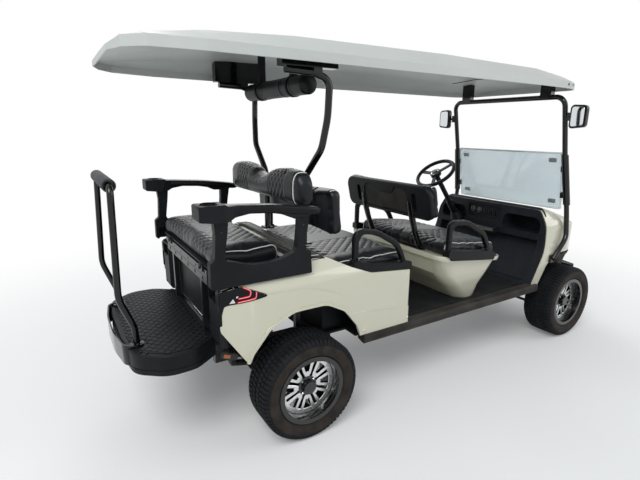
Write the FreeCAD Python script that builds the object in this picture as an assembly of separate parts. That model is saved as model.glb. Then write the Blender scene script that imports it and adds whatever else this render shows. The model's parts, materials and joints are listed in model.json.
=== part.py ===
"""Lifted golf cart with two forward benches and a third bench that faces back.

Millimetres, +X forward, +Y left, +Z up. Every place is first measured from the
rear axle: x is the distance ahead of it and z the height above the ground.
save() then moves each piece so that the origin is the middle of the footprint.
"""
import FreeCAD, Part
import math
import os

V = FreeCAD.Vector

# Overall
WHEELBASE = 2440.0
REAR_OVERHANG = 890.0          # rear axle to the step guard's rear face
FRONT_OVERHANG = 450.0         # front axle to the bumper's front face
ORIGIN_SHIFT = (REAR_OVERHANG - WHEELBASE - FRONT_OVERHANG) / 2
REAR_AXLE_X = 0.0
FRONT_AXLE_X = WHEELBASE
BODY_HALF_WIDTH = 600.0        # the widest panels; seats, wheels, floor and struts keep their distance from it
SEAT_GAP = 0.3                 # clearance where one piece seats on another

# Wheels
TYRE_RADIUS = 292.0
TYRE_WIDTH = 240.0
TREAD_WIDTH = 196.0
AXLE_Z = TYRE_RADIUS
WHEEL_Y = BODY_HALF_WIDTH - 25 # wheel centre plane from the middle
RIM_LIP_RADIUS = 196.0
RIM_HALF_WIDTH = 105.0
RIM_BARREL_RADIUS = 170.0
RIM_WALL = 6.0
BEAD_RADIUS = 178.0
SPOKE_FACE_OFFSET = 42.0       # spoke face outboard of the wheel centre plane
SPOKE_DEPTH = 22.0
SPOKE_COUNT = 8
SPOKE_WIDTH = 15.0
HUB_RADIUS = 58.0
CAP_RADIUS = 36.0
CAP_LENGTH = 34.0
SPINDLE_RADIUS = 20.0
DRUM_Y0 = WHEEL_Y - 97         # brake drum, inner and outer face
DRUM_Y1 = WHEEL_Y - 30

# Chassis
RAIL_Y = 250.0
RAIL_WIDTH = 50.0
RAIL_HEIGHT = 80.0
RAIL_BOTTOM = 375.0
RAIL_TOP = RAIL_BOTTOM + RAIL_HEIGHT
RAIL_REAR_X = -400.0
RAIL_FRONT_X = 2800.0
MEMBER_WIDTH = 50.0
FLOOR_THICKNESS = 16.0
FLOOR_TOP = RAIL_TOP + FLOOR_THICKNESS
FLOOR_HALF_WIDTH = BODY_HALF_WIDTH - 65
FLOOR_REAR_X = 380.0
FLOOR_FRONT_X = 2060.0
SILL_HALF_WIDTH = BODY_HALF_WIDTH + 3
SILL_BOTTOM = 428.0
SILL_TOP = 485.0
SILL_REAR_X = 400.0
SILL_FRONT_X = FRONT_AXLE_X - TYRE_RADIUS - 48

# Steering
KINGPIN_Y = WHEEL_Y - 135
KINGPIN_RADIUS = 12.0
PIN_GAP = 0.3
STEER_ARM = (-130.0, 0.0)      # tie rod pivot from the kingpin: x, y
TIE_ROD_Z = 238.0
TIE_ROD_RADIUS = 11.0
STEERING_CENTRE = V(1830.0, 300.0, 1290.0)
STEERING_FOOT = V(2182.0, 300.0, 830.0)
STEERING_RADIUS = 165.0
STEERING_GRIP_RADIUS = 14.0
COLUMN_RADIUS = 21.0

# Body panels
WALL = 6.0
COWL_HALF_WIDTH = BODY_HALF_WIDTH - 18
POD_HALF_WIDTH = BODY_HALF_WIDTH - 66

# Seats
SEAT_HALF_WIDTH = BODY_HALF_WIDTH - 80
FRONT_SEAT_HALF_WIDTH = POD_HALF_WIDTH - 50
FRONT_BACK_HALF_WIDTH = POD_HALF_WIDTH - 69
PAD_ROUND = 38.0

# Rear seat that flips over
FLIP_AXIS_X = -464.0
FLIP_AXIS_Z = 980.0
FLIP_PIN_RADIUS = 6.0
DECK_TOP = 975.0
BOARD_THICKNESS = 8.0
BOARD_BOTTOM = 985.0
REAR_CUSHION_HALF_WIDTH = SEAT_HALF_WIDTH - 8
DECK_HALF_WIDTH = SEAT_HALF_WIDTH - 40
REAR_CUSHION_TOP = 1108.0
REAR_CUSHION_BACK_X = -458.0
REAR_CUSHION_FRONT_X = -98.0

# Footrest and grab bar
STEP_TOP = 610.0
STEP_DEPTH = 105.0
STEP_WALL = 8.0
STEP_ARM_Y = RAIL_Y + RAIL_WIDTH / 2 + 20
GRAB_RADIUS = 16.0
GRIP_RADIUS = 31.5
GRAB_FOOT = (-800.0, 300.0)
GRIP_Z = 1405.0
GRIP_X = -844.0

# Roof and its struts
ROOF_WALL = 8.0
ROOF_RIM = 48.0
STRUT_RADIUS = 19.0
PANE_THICKNESS = 5.0
SOUND_RADIUS = 52.0
SOUND_HALF_LENGTH = 369.0


def box(x0, x1, y0, y1, z0, z1):
    return Part.makeBox(x1 - x0, y1 - y0, z1 - z0, V(x0, y0, z0))


def mirrored(shape):
    return shape.mirror(V(0, 0, 0), V(0, 1, 0))


def both_sides(shape):
    return Part.makeCompound([shape, mirrored(shape)])


def joined(shapes, merge_faces=True):
    """One solid from touching shapes."""
    first, *rest = shapes
    whole = first.fuse(rest)
    return whole.removeSplitter() if merge_faces else whole


def cylinder(start, end, radius):
    run = end - start
    return Part.makeCylinder(radius, run.Length, start, run)


def across(radius, x, z, y0, y1):
    """A round bar along Y."""
    return Part.makeCylinder(radius, y1 - y0, V(x, y0, z), V(0, 1, 0))


def in_side(u, v):
    return V(u, 0, v)


def in_plan(u, v):
    return V(u, v, 0)


def in_front(u, v):
    return V(0, u, v)


def corner(before, at, after, radius):
    """Start, middle and end of the arc that rounds one corner."""
    to_before = (before - at).normalize()
    to_after = (after - at).normalize()
    half = to_before.getAngle(to_after) / 2
    reach = radius / math.tan(half)
    inward = (to_before + to_after).normalize()
    middle = at + inward * (radius / math.sin(half) - radius)
    return at + to_before * reach, middle, at + to_after * reach


def outline(rows, place):
    """Closed wire; each row is u, v and the radius that rounds the corner."""
    points = [place(u, v) for u, v, _ in rows]
    count = len(rows)
    stops = []
    for i, (_, _, radius) in enumerate(rows):
        if radius:
            stops.append(corner(points[i - 1], points[i], points[(i + 1) % count], radius))
        else:
            stops.append((points[i], None, points[i]))
    edges = []
    for i, (start, middle, end) in enumerate(stops):
        if middle:
            edges.append(Part.Arc(start, middle, end).toShape())
        following = stops[(i + 1) % count][0]
        if (following - end).Length > 1e-6:
            edges.append(Part.LineSegment(end, following).toShape())
    return Part.Wire(edges)


def prism(rows, place, direction, low, high, inset=0.0):
    """The outline pushed along an axis, optionally drawn in on all sides."""
    face = Part.Face(outline(rows, place))
    if inset:
        face = face.makeOffset2D(-inset)
    face.translate(direction * low)
    return face.extrude(direction * (high - low))


def side_prism(rows, y0, y1, inset=0.0):
    return prism(rows, in_side, V(0, 1, 0), y0, y1, inset)


def plan_prism(rows, z0, z1, inset=0.0):
    return prism(rows, in_plan, V(0, 0, 1), z0, z1, inset)


def front_prism(rows, x0, x1, inset=0.0):
    return prism(rows, in_front, V(1, 0, 0), x0, x1, inset)


def both_halves(rows):
    """Rows for the +Y side, finished with their mirror image."""
    return rows + [(u, -v, r) for u, v, r in reversed(rows)]


def both_flanks(rows):
    """Front-view rows for the +Y side, finished with their mirror image."""
    return rows + [(-u, v, r) for u, v, r in reversed(rows)]


def tube(points, radius):
    """Straight runs joined by tangent arcs; each point is x, y, z, bend radius."""
    spots = [V(x, y, z) for x, y, z, _ in points]
    edges = []
    cursor = spots[0]
    for i in range(1, len(points) - 1):
        start, middle, end = corner(spots[i - 1], spots[i], spots[i + 1], points[i][3])
        edges.append(Part.LineSegment(cursor, start).toShape())
        edges.append(Part.Arc(start, middle, end).toShape())
        cursor = end
    edges.append(Part.LineSegment(cursor, spots[-1]).toShape())
    ring = Part.Circle(spots[0], spots[1] - spots[0], radius).toShape()
    return Part.Wire(edges).makePipeShell([Part.Wire([ring])], True, True)


def soft_block(x0, x1, half_width, z0, z1, radius):
    """A closed cushion with every edge rounded."""
    block = box(x0, x1, -half_width, half_width, z0, z1)
    return block.makeFillet(radius, block.Edges)


def turned(shape, pivot, degrees):
    """Lean a piece about a cross axis; positive tips its top backwards."""
    copy = shape.copy()
    copy.rotate(pivot, V(0, 1, 0), -degrees)
    return copy


# Wheels


def tyre():
    """Carcass ring about the wheel axis, with the tread band at full radius."""
    half = TYRE_WIDTH / 2
    tread = TREAD_WIDTH / 2
    bead = RIM_HALF_WIDTH - RIM_WALL - 2
    rows = [
        (-bead, BEAD_RADIUS, 0), (-bead, RIM_LIP_RADIUS + 2, 0), (-half, 226, 0), (-half + 4, 256, 0),
        (-tread - 4, TYRE_RADIUS - 9, 0), (-tread + 8, TYRE_RADIUS, 0), (tread - 8, TYRE_RADIUS, 0),
        (tread + 4, TYRE_RADIUS - 9, 0), (half - 4, 256, 0), (half, 226, 0), (bead, RIM_LIP_RADIUS + 2, 0),
        (bead, BEAD_RADIUS, 0),
    ]
    face = Part.Face(outline(rows, lambda u, v: V(0, u, v)))
    return face.revolve(V(0, 0, 0), V(0, 1, 0), 360)


def rim(outward):
    """Barrel with both lips, split spokes, hub and cap; outward is +1 for left."""
    half = RIM_HALF_WIDTH
    lip, barrel = RIM_LIP_RADIUS, RIM_BARREL_RADIUS
    seat = BEAD_RADIUS - SEAT_GAP
    rows = [
        (-half, lip, 0), (-half, barrel, 0), (half, barrel, 0), (half, lip, 0),
        (half - RIM_WALL, lip, 0), (half - RIM_WALL, seat, 0),
        (-half + RIM_WALL, seat, 0), (-half + RIM_WALL, lip, 0),
    ]
    ring = Part.Face(outline(rows, lambda u, v: V(0, u, v)))
    pieces = [ring.revolve(V(0, 0, 0), V(0, 1, 0), 360)]
    face = SPOKE_FACE_OFFSET
    pieces.append(across(HUB_RADIUS, 0, 0, face - SPOKE_DEPTH - 6, face + 2))
    pieces.append(across(CAP_RADIUS, 0, 0, face, face + CAP_LENGTH))
    for i in range(SPOKE_COUNT):
        for lean in (-1, 1):
            middle = 360 / SPOKE_COUNT * i
            root = math.radians(middle + lean * 9)
            tip = math.radians(middle + lean * 15)
            inner, outer = HUB_RADIUS - 12, barrel + 2
            start = V(inner * math.cos(root), 0, inner * math.sin(root))
            end = V(outer * math.cos(tip), 0, outer * math.sin(tip))
            aside = (end - start).cross(V(0, 1, 0)).normalize() * (SPOKE_WIDTH / 2)
            corners = [start - aside, end - aside, end + aside, start + aside]
            corners.append(corners[0])
            bar = Part.Face(Part.makePolygon(corners))
            bar.translate(V(0, face - SPOKE_DEPTH, 0))
            pieces.append(bar.extrude(V(0, SPOKE_DEPTH, 0)))
    wheel = joined(pieces)
    wheel = wheel.cut(across(SPINDLE_RADIUS + PIN_GAP, 0, 0, -half, face))
    return wheel if outward > 0 else mirrored(wheel)


def wheel_place(shape, axle_x, side):
    copy = shape.copy()
    copy.translate(V(axle_x, side * WHEEL_Y, AXLE_Z))
    return copy


# Chassis


def frame_rails():
    """The two box rails that run the whole length."""
    y0, y1 = RAIL_Y - RAIL_WIDTH / 2, RAIL_Y + RAIL_WIDTH / 2
    return both_sides(box(RAIL_REAR_X, RAIL_FRONT_X, y0, y1, RAIL_BOTTOM, RAIL_TOP))


def cross_members():
    """Square tubes set between the rails."""
    half = RAIL_Y - RAIL_WIDTH / 2 - SEAT_GAP
    pieces = []
    for x in (-390, 230, 720, 1300, 1900, 2750):
        pieces.append(box(x - MEMBER_WIDTH / 2, x + MEMBER_WIDTH / 2, -half, half, RAIL_TOP - MEMBER_WIDTH, RAIL_TOP))
    return Part.makeCompound(pieces)


def outriggers():
    """Short arms outside the rails that carry the edge of the floor."""
    y0 = RAIL_Y + RAIL_WIDTH / 2 + SEAT_GAP
    arms = [box(x - 20, x + 20, y0, FLOOR_HALF_WIDTH, RAIL_TOP - 30, RAIL_TOP) for x in (500, 1000, 1500, 1990)]
    return both_sides(Part.makeCompound(arms))


def floor_pan():
    """Floor sheet, narrowed beside the rear tyres, with shallow mat ribs."""
    rows = [
        (200, 430, 0), (FLOOR_REAR_X, 430, 0), (FLOOR_REAR_X, FLOOR_HALF_WIDTH, 0),
        (FLOOR_FRONT_X, FLOOR_HALF_WIDTH, 0),
    ]
    return plan_prism(both_halves(rows), RAIL_TOP, FLOOR_TOP)


def running_boards():
    """Edge trim along both sides of the floor, its front end cut for the tyre."""
    y0, y1 = FLOOR_HALF_WIDTH, SILL_HALF_WIDTH
    profile = [(y0, SILL_BOTTOM + 12, 4), (y0, SILL_TOP, 3), (y1, SILL_TOP, 9), (y1, SILL_BOTTOM, 9),
               (y1 - 22, SILL_BOTTOM, 4)]
    board = front_prism(profile, SILL_REAR_X, SILL_FRONT_X)
    groove = box(SILL_REAR_X + 20, SILL_FRONT_X - 20, y1 - 2, y1 + 1, SILL_BOTTOM + 22, SILL_BOTTOM + 26)
    return both_sides(board.cut(groove))


def leaf_spring(axle_x, y, half_length, seat_z, rise):
    """Bowed leaf pack with its two frame brackets."""
    thickness = 18.0
    half = 22.0
    points = [V(axle_x - half_length, 0, seat_z + rise), V(axle_x, 0, seat_z),
              V(axle_x + half_length, 0, seat_z + rise)]
    lift = V(0, 0, thickness)
    low = Part.Arc(*points).toShape()
    high = Part.Arc(points[2] + lift, points[1] + lift, points[0] + lift).toShape()
    ends = [Part.LineSegment(points[2], points[2] + lift).toShape(),
            Part.LineSegment(points[0] + lift, points[0]).toShape()]
    face = Part.Face(Part.Wire([low, ends[0], high, ends[1]]))
    face.translate(V(0, y - half, 0))
    pieces = [face.extrude(V(0, 2 * half, 0))]
    inner = RAIL_Y + RAIL_WIDTH / 2
    for end in (-1, 1):
        x = axle_x + end * (half_length - 14)
        pieces.append(box(x - 14, x + 14, inner, y + half, seat_z + rise + 4, RAIL_TOP - 12))
    return joined(pieces)


def rear_axle():
    """Axle tube with differential and motor, leaf springs and brake drums."""
    tube_radius = 38.0
    pieces = [
        across(tube_radius, 0, AXLE_Z, -DRUM_Y0, DRUM_Y0),
        Part.makeSphere(112, V(0, 70, AXLE_Z)),
        across(90, -95, AXLE_Z, -208, 20),
        across(60, -95, AXLE_Z, -221, -208),
    ]
    for side in (-1, 1):
        spring = leaf_spring(0, 315, 330, AXLE_Z + tube_radius - 2, 42)
        pieces.append(spring if side > 0 else mirrored(spring))
        drum = across(105, 0, AXLE_Z, DRUM_Y0, DRUM_Y1)
        spindle = across(SPINDLE_RADIUS, 0, AXLE_Z, DRUM_Y1 - 5, WHEEL_Y + SPOKE_FACE_OFFSET - 4)
        for part in (drum, spindle):
            pieces.append(part if side > 0 else mirrored(part))
    return joined(pieces, merge_faces=False)


YOKE_Y0 = KINGPIN_Y - 48
YOKE_Y1 = KINGPIN_Y + 28
YOKE_BOTTOM = 206.0
YOKE_TOP = 378.0
YOKE_PLATE = 14.0


def front_axle():
    """Beam with a yoke and kingpin at each end, and its leaf springs."""
    x = FRONT_AXLE_X
    pieces = [box(x - 25, x + 25, -YOKE_Y0, YOKE_Y0, AXLE_Z - 25, AXLE_Z + 25)]
    yoke = [
        box(x - 28, x + 28, YOKE_Y0 - 14, YOKE_Y0, YOKE_BOTTOM, YOKE_TOP),
        box(x - 28, x + 28, YOKE_Y0 - 14, YOKE_Y1, YOKE_BOTTOM, YOKE_BOTTOM + YOKE_PLATE),
        box(x - 28, x + 28, YOKE_Y0 - 14, YOKE_Y1, YOKE_TOP - YOKE_PLATE, YOKE_TOP),
        cylinder(V(x, KINGPIN_Y, YOKE_BOTTOM), V(x, KINGPIN_Y, YOKE_TOP), KINGPIN_RADIUS),
        leaf_spring(x, 304, 290, AXLE_Z + 24, 48),
    ]
    for part in yoke:
        pieces.append(part)
        pieces.append(mirrored(part))
    return joined(pieces)


def knuckle():
    """Left knuckle: kingpin barrel, stub axle, drum and steering arm."""
    x, y = FRONT_AXLE_X, KINGPIN_Y
    low, high = YOKE_BOTTOM + YOKE_PLATE + 1, YOKE_TOP - YOKE_PLATE - 1
    barrel = cylinder(V(x, y, low), V(x, y, high), 24)
    stub = across(30, x, AXLE_Z, y, y + 60)
    drum = across(100, x, AXLE_Z, y + 52, DRUM_Y1)
    spindle = across(SPINDLE_RADIUS, x, AXLE_Z, DRUM_Y1 - 5, WHEEL_Y + SPOKE_FACE_OFFSET - 4)
    px, py = x + STEER_ARM[0], y + STEER_ARM[1]
    arm_z = TIE_ROD_Z + 18
    arm_rows = [(x + 6, y - 16, 0), (x + 6, y + 16, 0), (px - 16, py + 14, 12), (px - 16, py - 14, 12)]
    arm = plan_prism(arm_rows, arm_z, arm_z + 16)
    stud = cylinder(V(px, py, TIE_ROD_Z - 15), V(px, py, arm_z + 4), 7)
    body = joined([barrel, stub, drum, spindle, arm, stud])
    return body.cut(cylinder(V(x, y, low - 5), V(x, y, high + 5), KINGPIN_RADIUS + PIN_GAP))


def tie_rod():
    """Rod between the two steering arms, with an eye round each stud."""
    px = FRONT_AXLE_X + STEER_ARM[0]
    py = KINGPIN_Y + STEER_ARM[1]
    pieces = [across(TIE_ROD_RADIUS, px, TIE_ROD_Z, -py + 12, py - 12)]
    for side in (-1, 1):
        pieces.append(cylinder(V(px, side * py, TIE_ROD_Z - 12), V(px, side * py, TIE_ROD_Z + 12), 17))
    rod = joined(pieces)
    for side in (-1, 1):
        rod = rod.cut(cylinder(V(px, side * py, TIE_ROD_Z - 30), V(px, side * py, TIE_ROD_Z + 30), 7.3))
    return rod


def battery_block():
    return box(225, 700, -400, 400, FLOOR_TOP, FLOOR_TOP + 285)


# Rear body

BODY_TOP = 934.0
BODY_SIDE = [
    (755, SILL_TOP, 8), (755, 832, 25), (443, 862, 90), (293, 921, 90), (163, 986, 60),
    (62, 992, 30), (20, BODY_TOP, 20), (-345, BODY_TOP, 60), (-466, 922, 30), (-461, 710, 40), (-336, 520, 18),
    (0, SILL_TOP, 0),
]
BODY_FRONT_VIEW = [
    (BODY_HALF_WIDTH - 12, 380, 0), (BODY_HALF_WIDTH, 640, 200), (BODY_HALF_WIDTH, 900, 150),
    (BODY_HALF_WIDTH - 52, 1012, 60),
]
BODY_PLAN = [(-480, BODY_HALF_WIDTH - 15, 0), (-300, BODY_HALF_WIDTH, 300), (755, BODY_HALF_WIDTH, 30)]
ARCH = [
    (-352, 440, 0), (-300, 555, 60), (-205, 672, 110), (-70, 736, 150), (130, 736, 150),
    (250, 672, 110), (345, 555, 60), (388, 440, 0),
]
CREASE_DEPTH = 5.0             # how far the flank above the crease is drawn in
CREASE = [
    (-520, 1100, 0), (-520, 907, 0), (-345, 926, 40), (-216, 858, 60), (20, 850, 500), (235, 778, 400),
    (400, 628, 250), (560, 607, 250), (800, 588, 0), (800, 1100, 0),
]
LAMP_SIDE = [(-500, 838, 0), (-215, 857, 10), (-345, 925, 40), (-500, 908, 0)]
RECESS_FLOOR_Z = 838.0
RECESS_HALF_WIDTH = SEAT_HALF_WIDTH + 10
RECESS_REAR_X = 190.0


def body_block(inset, rear_shift=0.0, narrower=0.0):
    """Solid inside the three outlines of the rear body."""
    side = [(x + (rear_shift if x < -300 else 0), z, r) for x, z, r in BODY_SIDE]
    plan = [(x + (2 * rear_shift if x < -400 else 0), y - narrower, r) for x, y, r in BODY_PLAN]
    front = [(y - narrower, z, r) for y, z, r in BODY_FRONT_VIEW]
    block = side_prism(side, -BODY_HALF_WIDTH - 100, BODY_HALF_WIDTH + 100, inset)
    block = block.common(front_prism(both_flanks(front), -700, 900, inset))
    return block.common(plan_prism(both_halves(plan), 300, 1100, inset))


def seat_recess(grow):
    return box(RECESS_REAR_X - grow, 900, -RECESS_HALF_WIDTH - grow, RECESS_HALF_WIDTH + grow,
               RECESS_FLOOR_Z - grow, 1200)


def lamp_zone(grow):
    """Corner wedge that the tail lamp fills on the left side."""
    return prism(LAMP_SIDE, in_side, V(0, 1, 0), BODY_HALF_WIDTH - 170, BODY_HALF_WIDTH + 100, -grow)


def above_crease():
    """Zone over the crease that follows the arch and runs on level to the front edge."""
    zone = side_prism(CREASE, BODY_HALF_WIDTH - 80, BODY_HALF_WIDTH + 60)
    return zone.fuse(mirrored(zone))


def rear_body():
    """Hollow moulding: flared fenders with wheel arches, joined by the seat base."""
    drawn_in = body_block(0, 0, CREASE_DEPTH)
    block = drawn_in.fuse(body_block(0).cut(above_crease())).cut(seat_recess(0))
    inside = body_block(WALL, -60, CREASE_DEPTH)
    hollow = inside.cut(seat_recess(WALL))
    hollow = hollow.fuse(box(-470, 740, -BODY_HALF_WIDTH + 10, BODY_HALF_WIDTH - 10, 380, 560).common(inside))
    shell = block.cut(hollow)
    below = box(-330, 749, -BODY_HALF_WIDTH + WALL + 6, BODY_HALF_WIDTH - WALL - 6, 380, SILL_TOP + 20)
    shell = shell.cut(below)
    arch = side_prism(ARCH, BODY_HALF_WIDTH - 300, BODY_HALF_WIDTH + 120)
    bagwell = box(-520, 95, -BODY_HALF_WIDTH + 100, BODY_HALF_WIDTH - 100, 700, 1100)
    lamp = lamp_zone(0)
    for cutter in (arch, mirrored(arch), bagwell, lamp, mirrored(lamp)):
        shell = shell.cut(cutter)
    y = BODY_HALF_WIDTH
    lip = side_prism(ARCH, y - 12, y + 12, -14).cut(side_prism(ARCH, y - 20, y + 20))
    lip = lip.common(body_block(-9)).cut(box(-400, 500, y - 100, y + 100, 300, SILL_TOP + 6))
    lip = lip.cut(box(-700, -352, y - 200, y + 100, 300, 900))
    return joined([shell, lip, mirrored(lip)])


def tail_panel():
    """Rear closing panel, recessed between the posts and full at the corners."""
    rows = [(-424, 0, 0), (-424, 395, 10), (-462, 425, 10), (-462, BODY_HALF_WIDTH - 40, 25), (-436, BODY_HALF_WIDTH - 8, 10),
            (-428, BODY_HALF_WIDTH - 8, 0), (-428, 440, 0), (-416, 410, 0), (-416, 0, 0)]
    half = plan_prism(rows, STEP_TOP + 6, 932)
    half = half.common(body_block(WALL, -60, CREASE_DEPTH))
    half = half.cut(lamp_zone(SEAT_GAP))
    return half.fuse(mirrored(half)).removeSplitter()


def tail_lights():
    """Lamp block let into each rear shoulder."""
    lamp = body_block(0).common(lamp_zone(-SEAT_GAP))
    return both_sides(lamp.cut(box(-600, 0, 0, BODY_HALF_WIDTH - 55, 800, 1000)))


# Front body

COWL_SIDE = [
    (2038, 452, 0), (2180, 760, 300), (2212, 1075, 40), (2450, 985, 260), (2660, 868, 200),
    (2786, 710, 120), (2806, 560, 40), (2770, 470, 20), (2690, 452, 0),
]
COWL_FRONT_VIEW = [
    (COWL_HALF_WIDTH - 8, 380, 0), (COWL_HALF_WIDTH, 700, 400), (COWL_HALF_WIDTH - 22, 930, 200),
    (COWL_HALF_WIDTH - 102, 1064, 110), (COWL_HALF_WIDTH - 332, 1084, 500),
]
COWL_PLAN = [(1950, COWL_HALF_WIDTH, 0), (2560, COWL_HALF_WIDTH, 350), (2806, COWL_HALF_WIDTH - 252, 120)]
FRONT_ARCH = [
    (2104, 420, 0), (2152, 505, 60), (2218, 622, 90), (2330, 704, 130), (2550, 704, 130),
    (2662, 622, 90), (2728, 505, 60), (2760, 420, 0),
]
LAMP_Y = COWL_HALF_WIDTH - 22   # outer corner of the headlight
HEADLIGHT = [
    (LAMP_Y - 260, 700, 12), (LAMP_Y - 40, 716, 25), (LAMP_Y, 762, 25), (LAMP_Y - 40, 800, 25),
    (LAMP_Y - 240, 770, 25),
]


def cowl_block(inset, rear_shift=0.0):
    side = [(x + (rear_shift if x < 2300 else 0), z, r) for x, z, r in COWL_SIDE]
    block = side_prism(side, -COWL_HALF_WIDTH - 118, COWL_HALF_WIDTH + 118, inset)
    block = block.common(front_prism(both_flanks(COWL_FRONT_VIEW), 1900, 2900, inset))
    return block.common(plan_prism(both_halves(COWL_PLAN), 300, 1200, inset))


def sill_end():
    """Space of the left running board's front end, which the nose and dash stand on."""
    return box(SILL_FRONT_X - 200, SILL_FRONT_X + SEAT_GAP, FLOOR_HALF_WIDTH - SEAT_GAP, SILL_HALF_WIDTH + 97, 400,
               SILL_TOP + SEAT_GAP)


def headlight_zone(grow):
    return front_prism(HEADLIGHT, 2560, 2900, -grow)


def front_cowl():
    """Hollow nose moulding, open at the back and below, with wheel arches."""
    shell = cowl_block(0).cut(cowl_block(WALL, -90))
    below = box(1990, 2762, -COWL_HALF_WIDTH + WALL + 8, COWL_HALF_WIDTH - WALL - 8, 400, 500)
    shell = shell.cut(below)
    arch = side_prism(FRONT_ARCH, COWL_HALF_WIDTH - 282, COWL_HALF_WIDTH + 118)
    lamp = headlight_zone(0)
    sill = sill_end()
    for cutter in (arch, mirrored(arch), lamp, mirrored(lamp), sill, mirrored(sill)):
        shell = shell.cut(cutter)
    return shell


def headlights():
    shell = cowl_block(0).cut(cowl_block(30))
    return both_sides(shell.common(headlight_zone(-SEAT_GAP)))


def front_bumper():
    """Black bar across the nose, bolted to both rails."""
    front = FRONT_AXLE_X + FRONT_OVERHANG
    end = COWL_HALF_WIDTH - 112
    rows = [(front - 90, end, 20), (front - 40, end, 30), (front, end - 140, 90)]
    bar = plan_prism(both_halves(rows), 395, 500)
    hollow = [(front - 200, end - 18, 0), (front - 60, end - 18, 0), (front - 22, end - 148, 70)]
    bar = bar.cut(plan_prism(both_halves(hollow), 405, 490))
    pieces = [bar]
    for side in (-1, 1):
        y = side * RAIL_Y
        pieces.append(box(RAIL_FRONT_X, front - 21, y - 22, y + 22, 405, 450))
    return joined(pieces)


# Dash

TOE_LOW_X = 2075.0
TOE_HIGH = (2262.0, 800.0)
TOE_HALF_WIDTH = COWL_HALF_WIDTH - 77


def toe_board():
    """Everything ahead of the toe board's face, with the seating clearance."""
    low_z = FLOOR_TOP + 26
    rows = [(TOE_LOW_X - SEAT_GAP, low_z, 0), (TOE_HIGH[0] - SEAT_GAP, TOE_HIGH[1], 0), (2400, 800, 0),
            (2400, low_z, 0)]
    return side_prism(rows, -TOE_HALF_WIDTH, TOE_HALF_WIDTH)


def dash():
    """Moulded dash: border, toe board, shelf, centre panel and two cubbies."""
    zone = [
        (2026, FLOOR_TOP, 0), (2174, 760, 300), (2196, 1100, 0), (2372, 1100, 0),
        (2372, 850, 0), (2330, 800, 0), (2096, FLOOR_TOP, 0),
    ]
    block = cowl_block(WALL + SEAT_GAP, -90).common(side_prism(zone, -COWL_HALF_WIDTH, COWL_HALF_WIDTH))
    toe = [(1990, FLOOR_TOP + 26, 0), (TOE_LOW_X, FLOOR_TOP + 26, 20), (TOE_HIGH[0], TOE_HIGH[1], 30),
           (2150, 812, 0), (1990, 812, 0)]
    block = block.cut(side_prism(toe, -TOE_HALF_WIDTH, TOE_HALF_WIDTH))
    for y0, y1 in ((-TOE_HALF_WIDTH - 3, -165), (230, TOE_HALF_WIDTH + 3)):
        cubby = [(y0, 858, 30), (y0, 985, 60), (y1, 985, 60), (y1, 858, 30)]
        block = block.cut(front_prism(cubby, 2100, 2355))
    panel = [(-140, 905, 25), (-140, 1020, 25), (205, 1020, 25), (205, 905, 25)]
    block = block.cut(front_prism(panel, 2100, 2200))
    shelf_rows = [(2110, 812, 6), (2110, 850, 18), (2215, 862, 0), (2215, 812, 0)]
    shelf = side_prism(shelf_rows, -140, 300)
    shelf = shelf.cut(box(2126, 2196, -120, 230, 830, 900))
    block = block.fuse(shelf).removeSplitter()
    block = block.cut(sill_end()).cut(mirrored(sill_end()))
    run = (STEERING_FOOT - STEERING_CENTRE).normalize()
    return block.cut(cylinder(STEERING_CENTRE, STEERING_FOOT + run * 60, COLUMN_RADIUS + 1))


def pedals():
    pieces = []
    for y, width in ((150, 62), (275, 92)):
        rows = [(2068, 600, 5), (2080, 596, 5), (2108, 700, 5), (2096, 704, 5)]
        pad = side_prism(rows, y - width / 2, y + width / 2)
        stem = cylinder(V(2090, y, 646), V(2190, y, 662), 9)
        pieces.append(joined([pad, stem]).cut(toe_board()))
    return Part.makeCompound(pieces)


def steering_column():
    """Column tube from the dash up to the wheel hub, with a collar."""
    run = (STEERING_CENTRE - STEERING_FOOT).normalize()
    top = STEERING_CENTRE - run * 34
    pieces = [cylinder(STEERING_FOOT, top, COLUMN_RADIUS),
              cylinder(STEERING_FOOT + run * 60, STEERING_FOOT + run * 250, COLUMN_RADIUS + 9),
              cylinder(top, top + run * 12, 10)]
    return joined(pieces)


def steering_wheel():
    """Rim ring, three spokes and the hub, square to the column."""
    ring = Part.makeTorus(STEERING_RADIUS, STEERING_GRIP_RADIUS)
    pieces = [ring, Part.makeCylinder(46, 34, V(0, 0, -22)), Part.makeCylinder(30, 12, V(0, 0, -33))]
    for angle in (90, 210, 330):
        bar = box(20, STEERING_RADIUS, -15, 15, -8, 2)
        bar.rotate(V(0, 0, 0), V(0, 0, 1), angle)
        pieces.append(bar)
    wheel = joined(pieces)
    wheel = wheel.cut(Part.makeCylinder(10.3, 22, V(0, 0, -40)))
    run = (STEERING_CENTRE - STEERING_FOOT).normalize()
    tilt = math.degrees(V(0, 0, 1).getAngle(run))
    wheel.rotate(V(0, 0, 0), V(0, 1, 0), -tilt)
    wheel.translate(STEERING_CENTRE)
    return wheel


# Seat pod and benches

POD_SECTIONS = [
    # z at the rear, z at the front, rear x, front x, half width, corner radius
    (FLOOR_TOP, FLOOR_TOP, 1345, 1555, POD_HALF_WIDTH - 64, 90),
    (560, 560, 1268, 1590, POD_HALF_WIDTH - 50, 100),
    (689, 649, 1137, 1642, POD_HALF_WIDTH - 26, 100),
    (806, 729, 1097, 1696, POD_HALF_WIDTH - 18, 95),
]
POD_RIM = [
    (806, 729, 1083, 1722, POD_HALF_WIDTH, 95),
    (840, 760, 1080, 1727, POD_HALF_WIDTH + 4, 95),
]
POD_RIM_WIDTH = 32.0
POD_DECK_DROP = 8.0
POD_DECK_THICKNESS = 8.0


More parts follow.
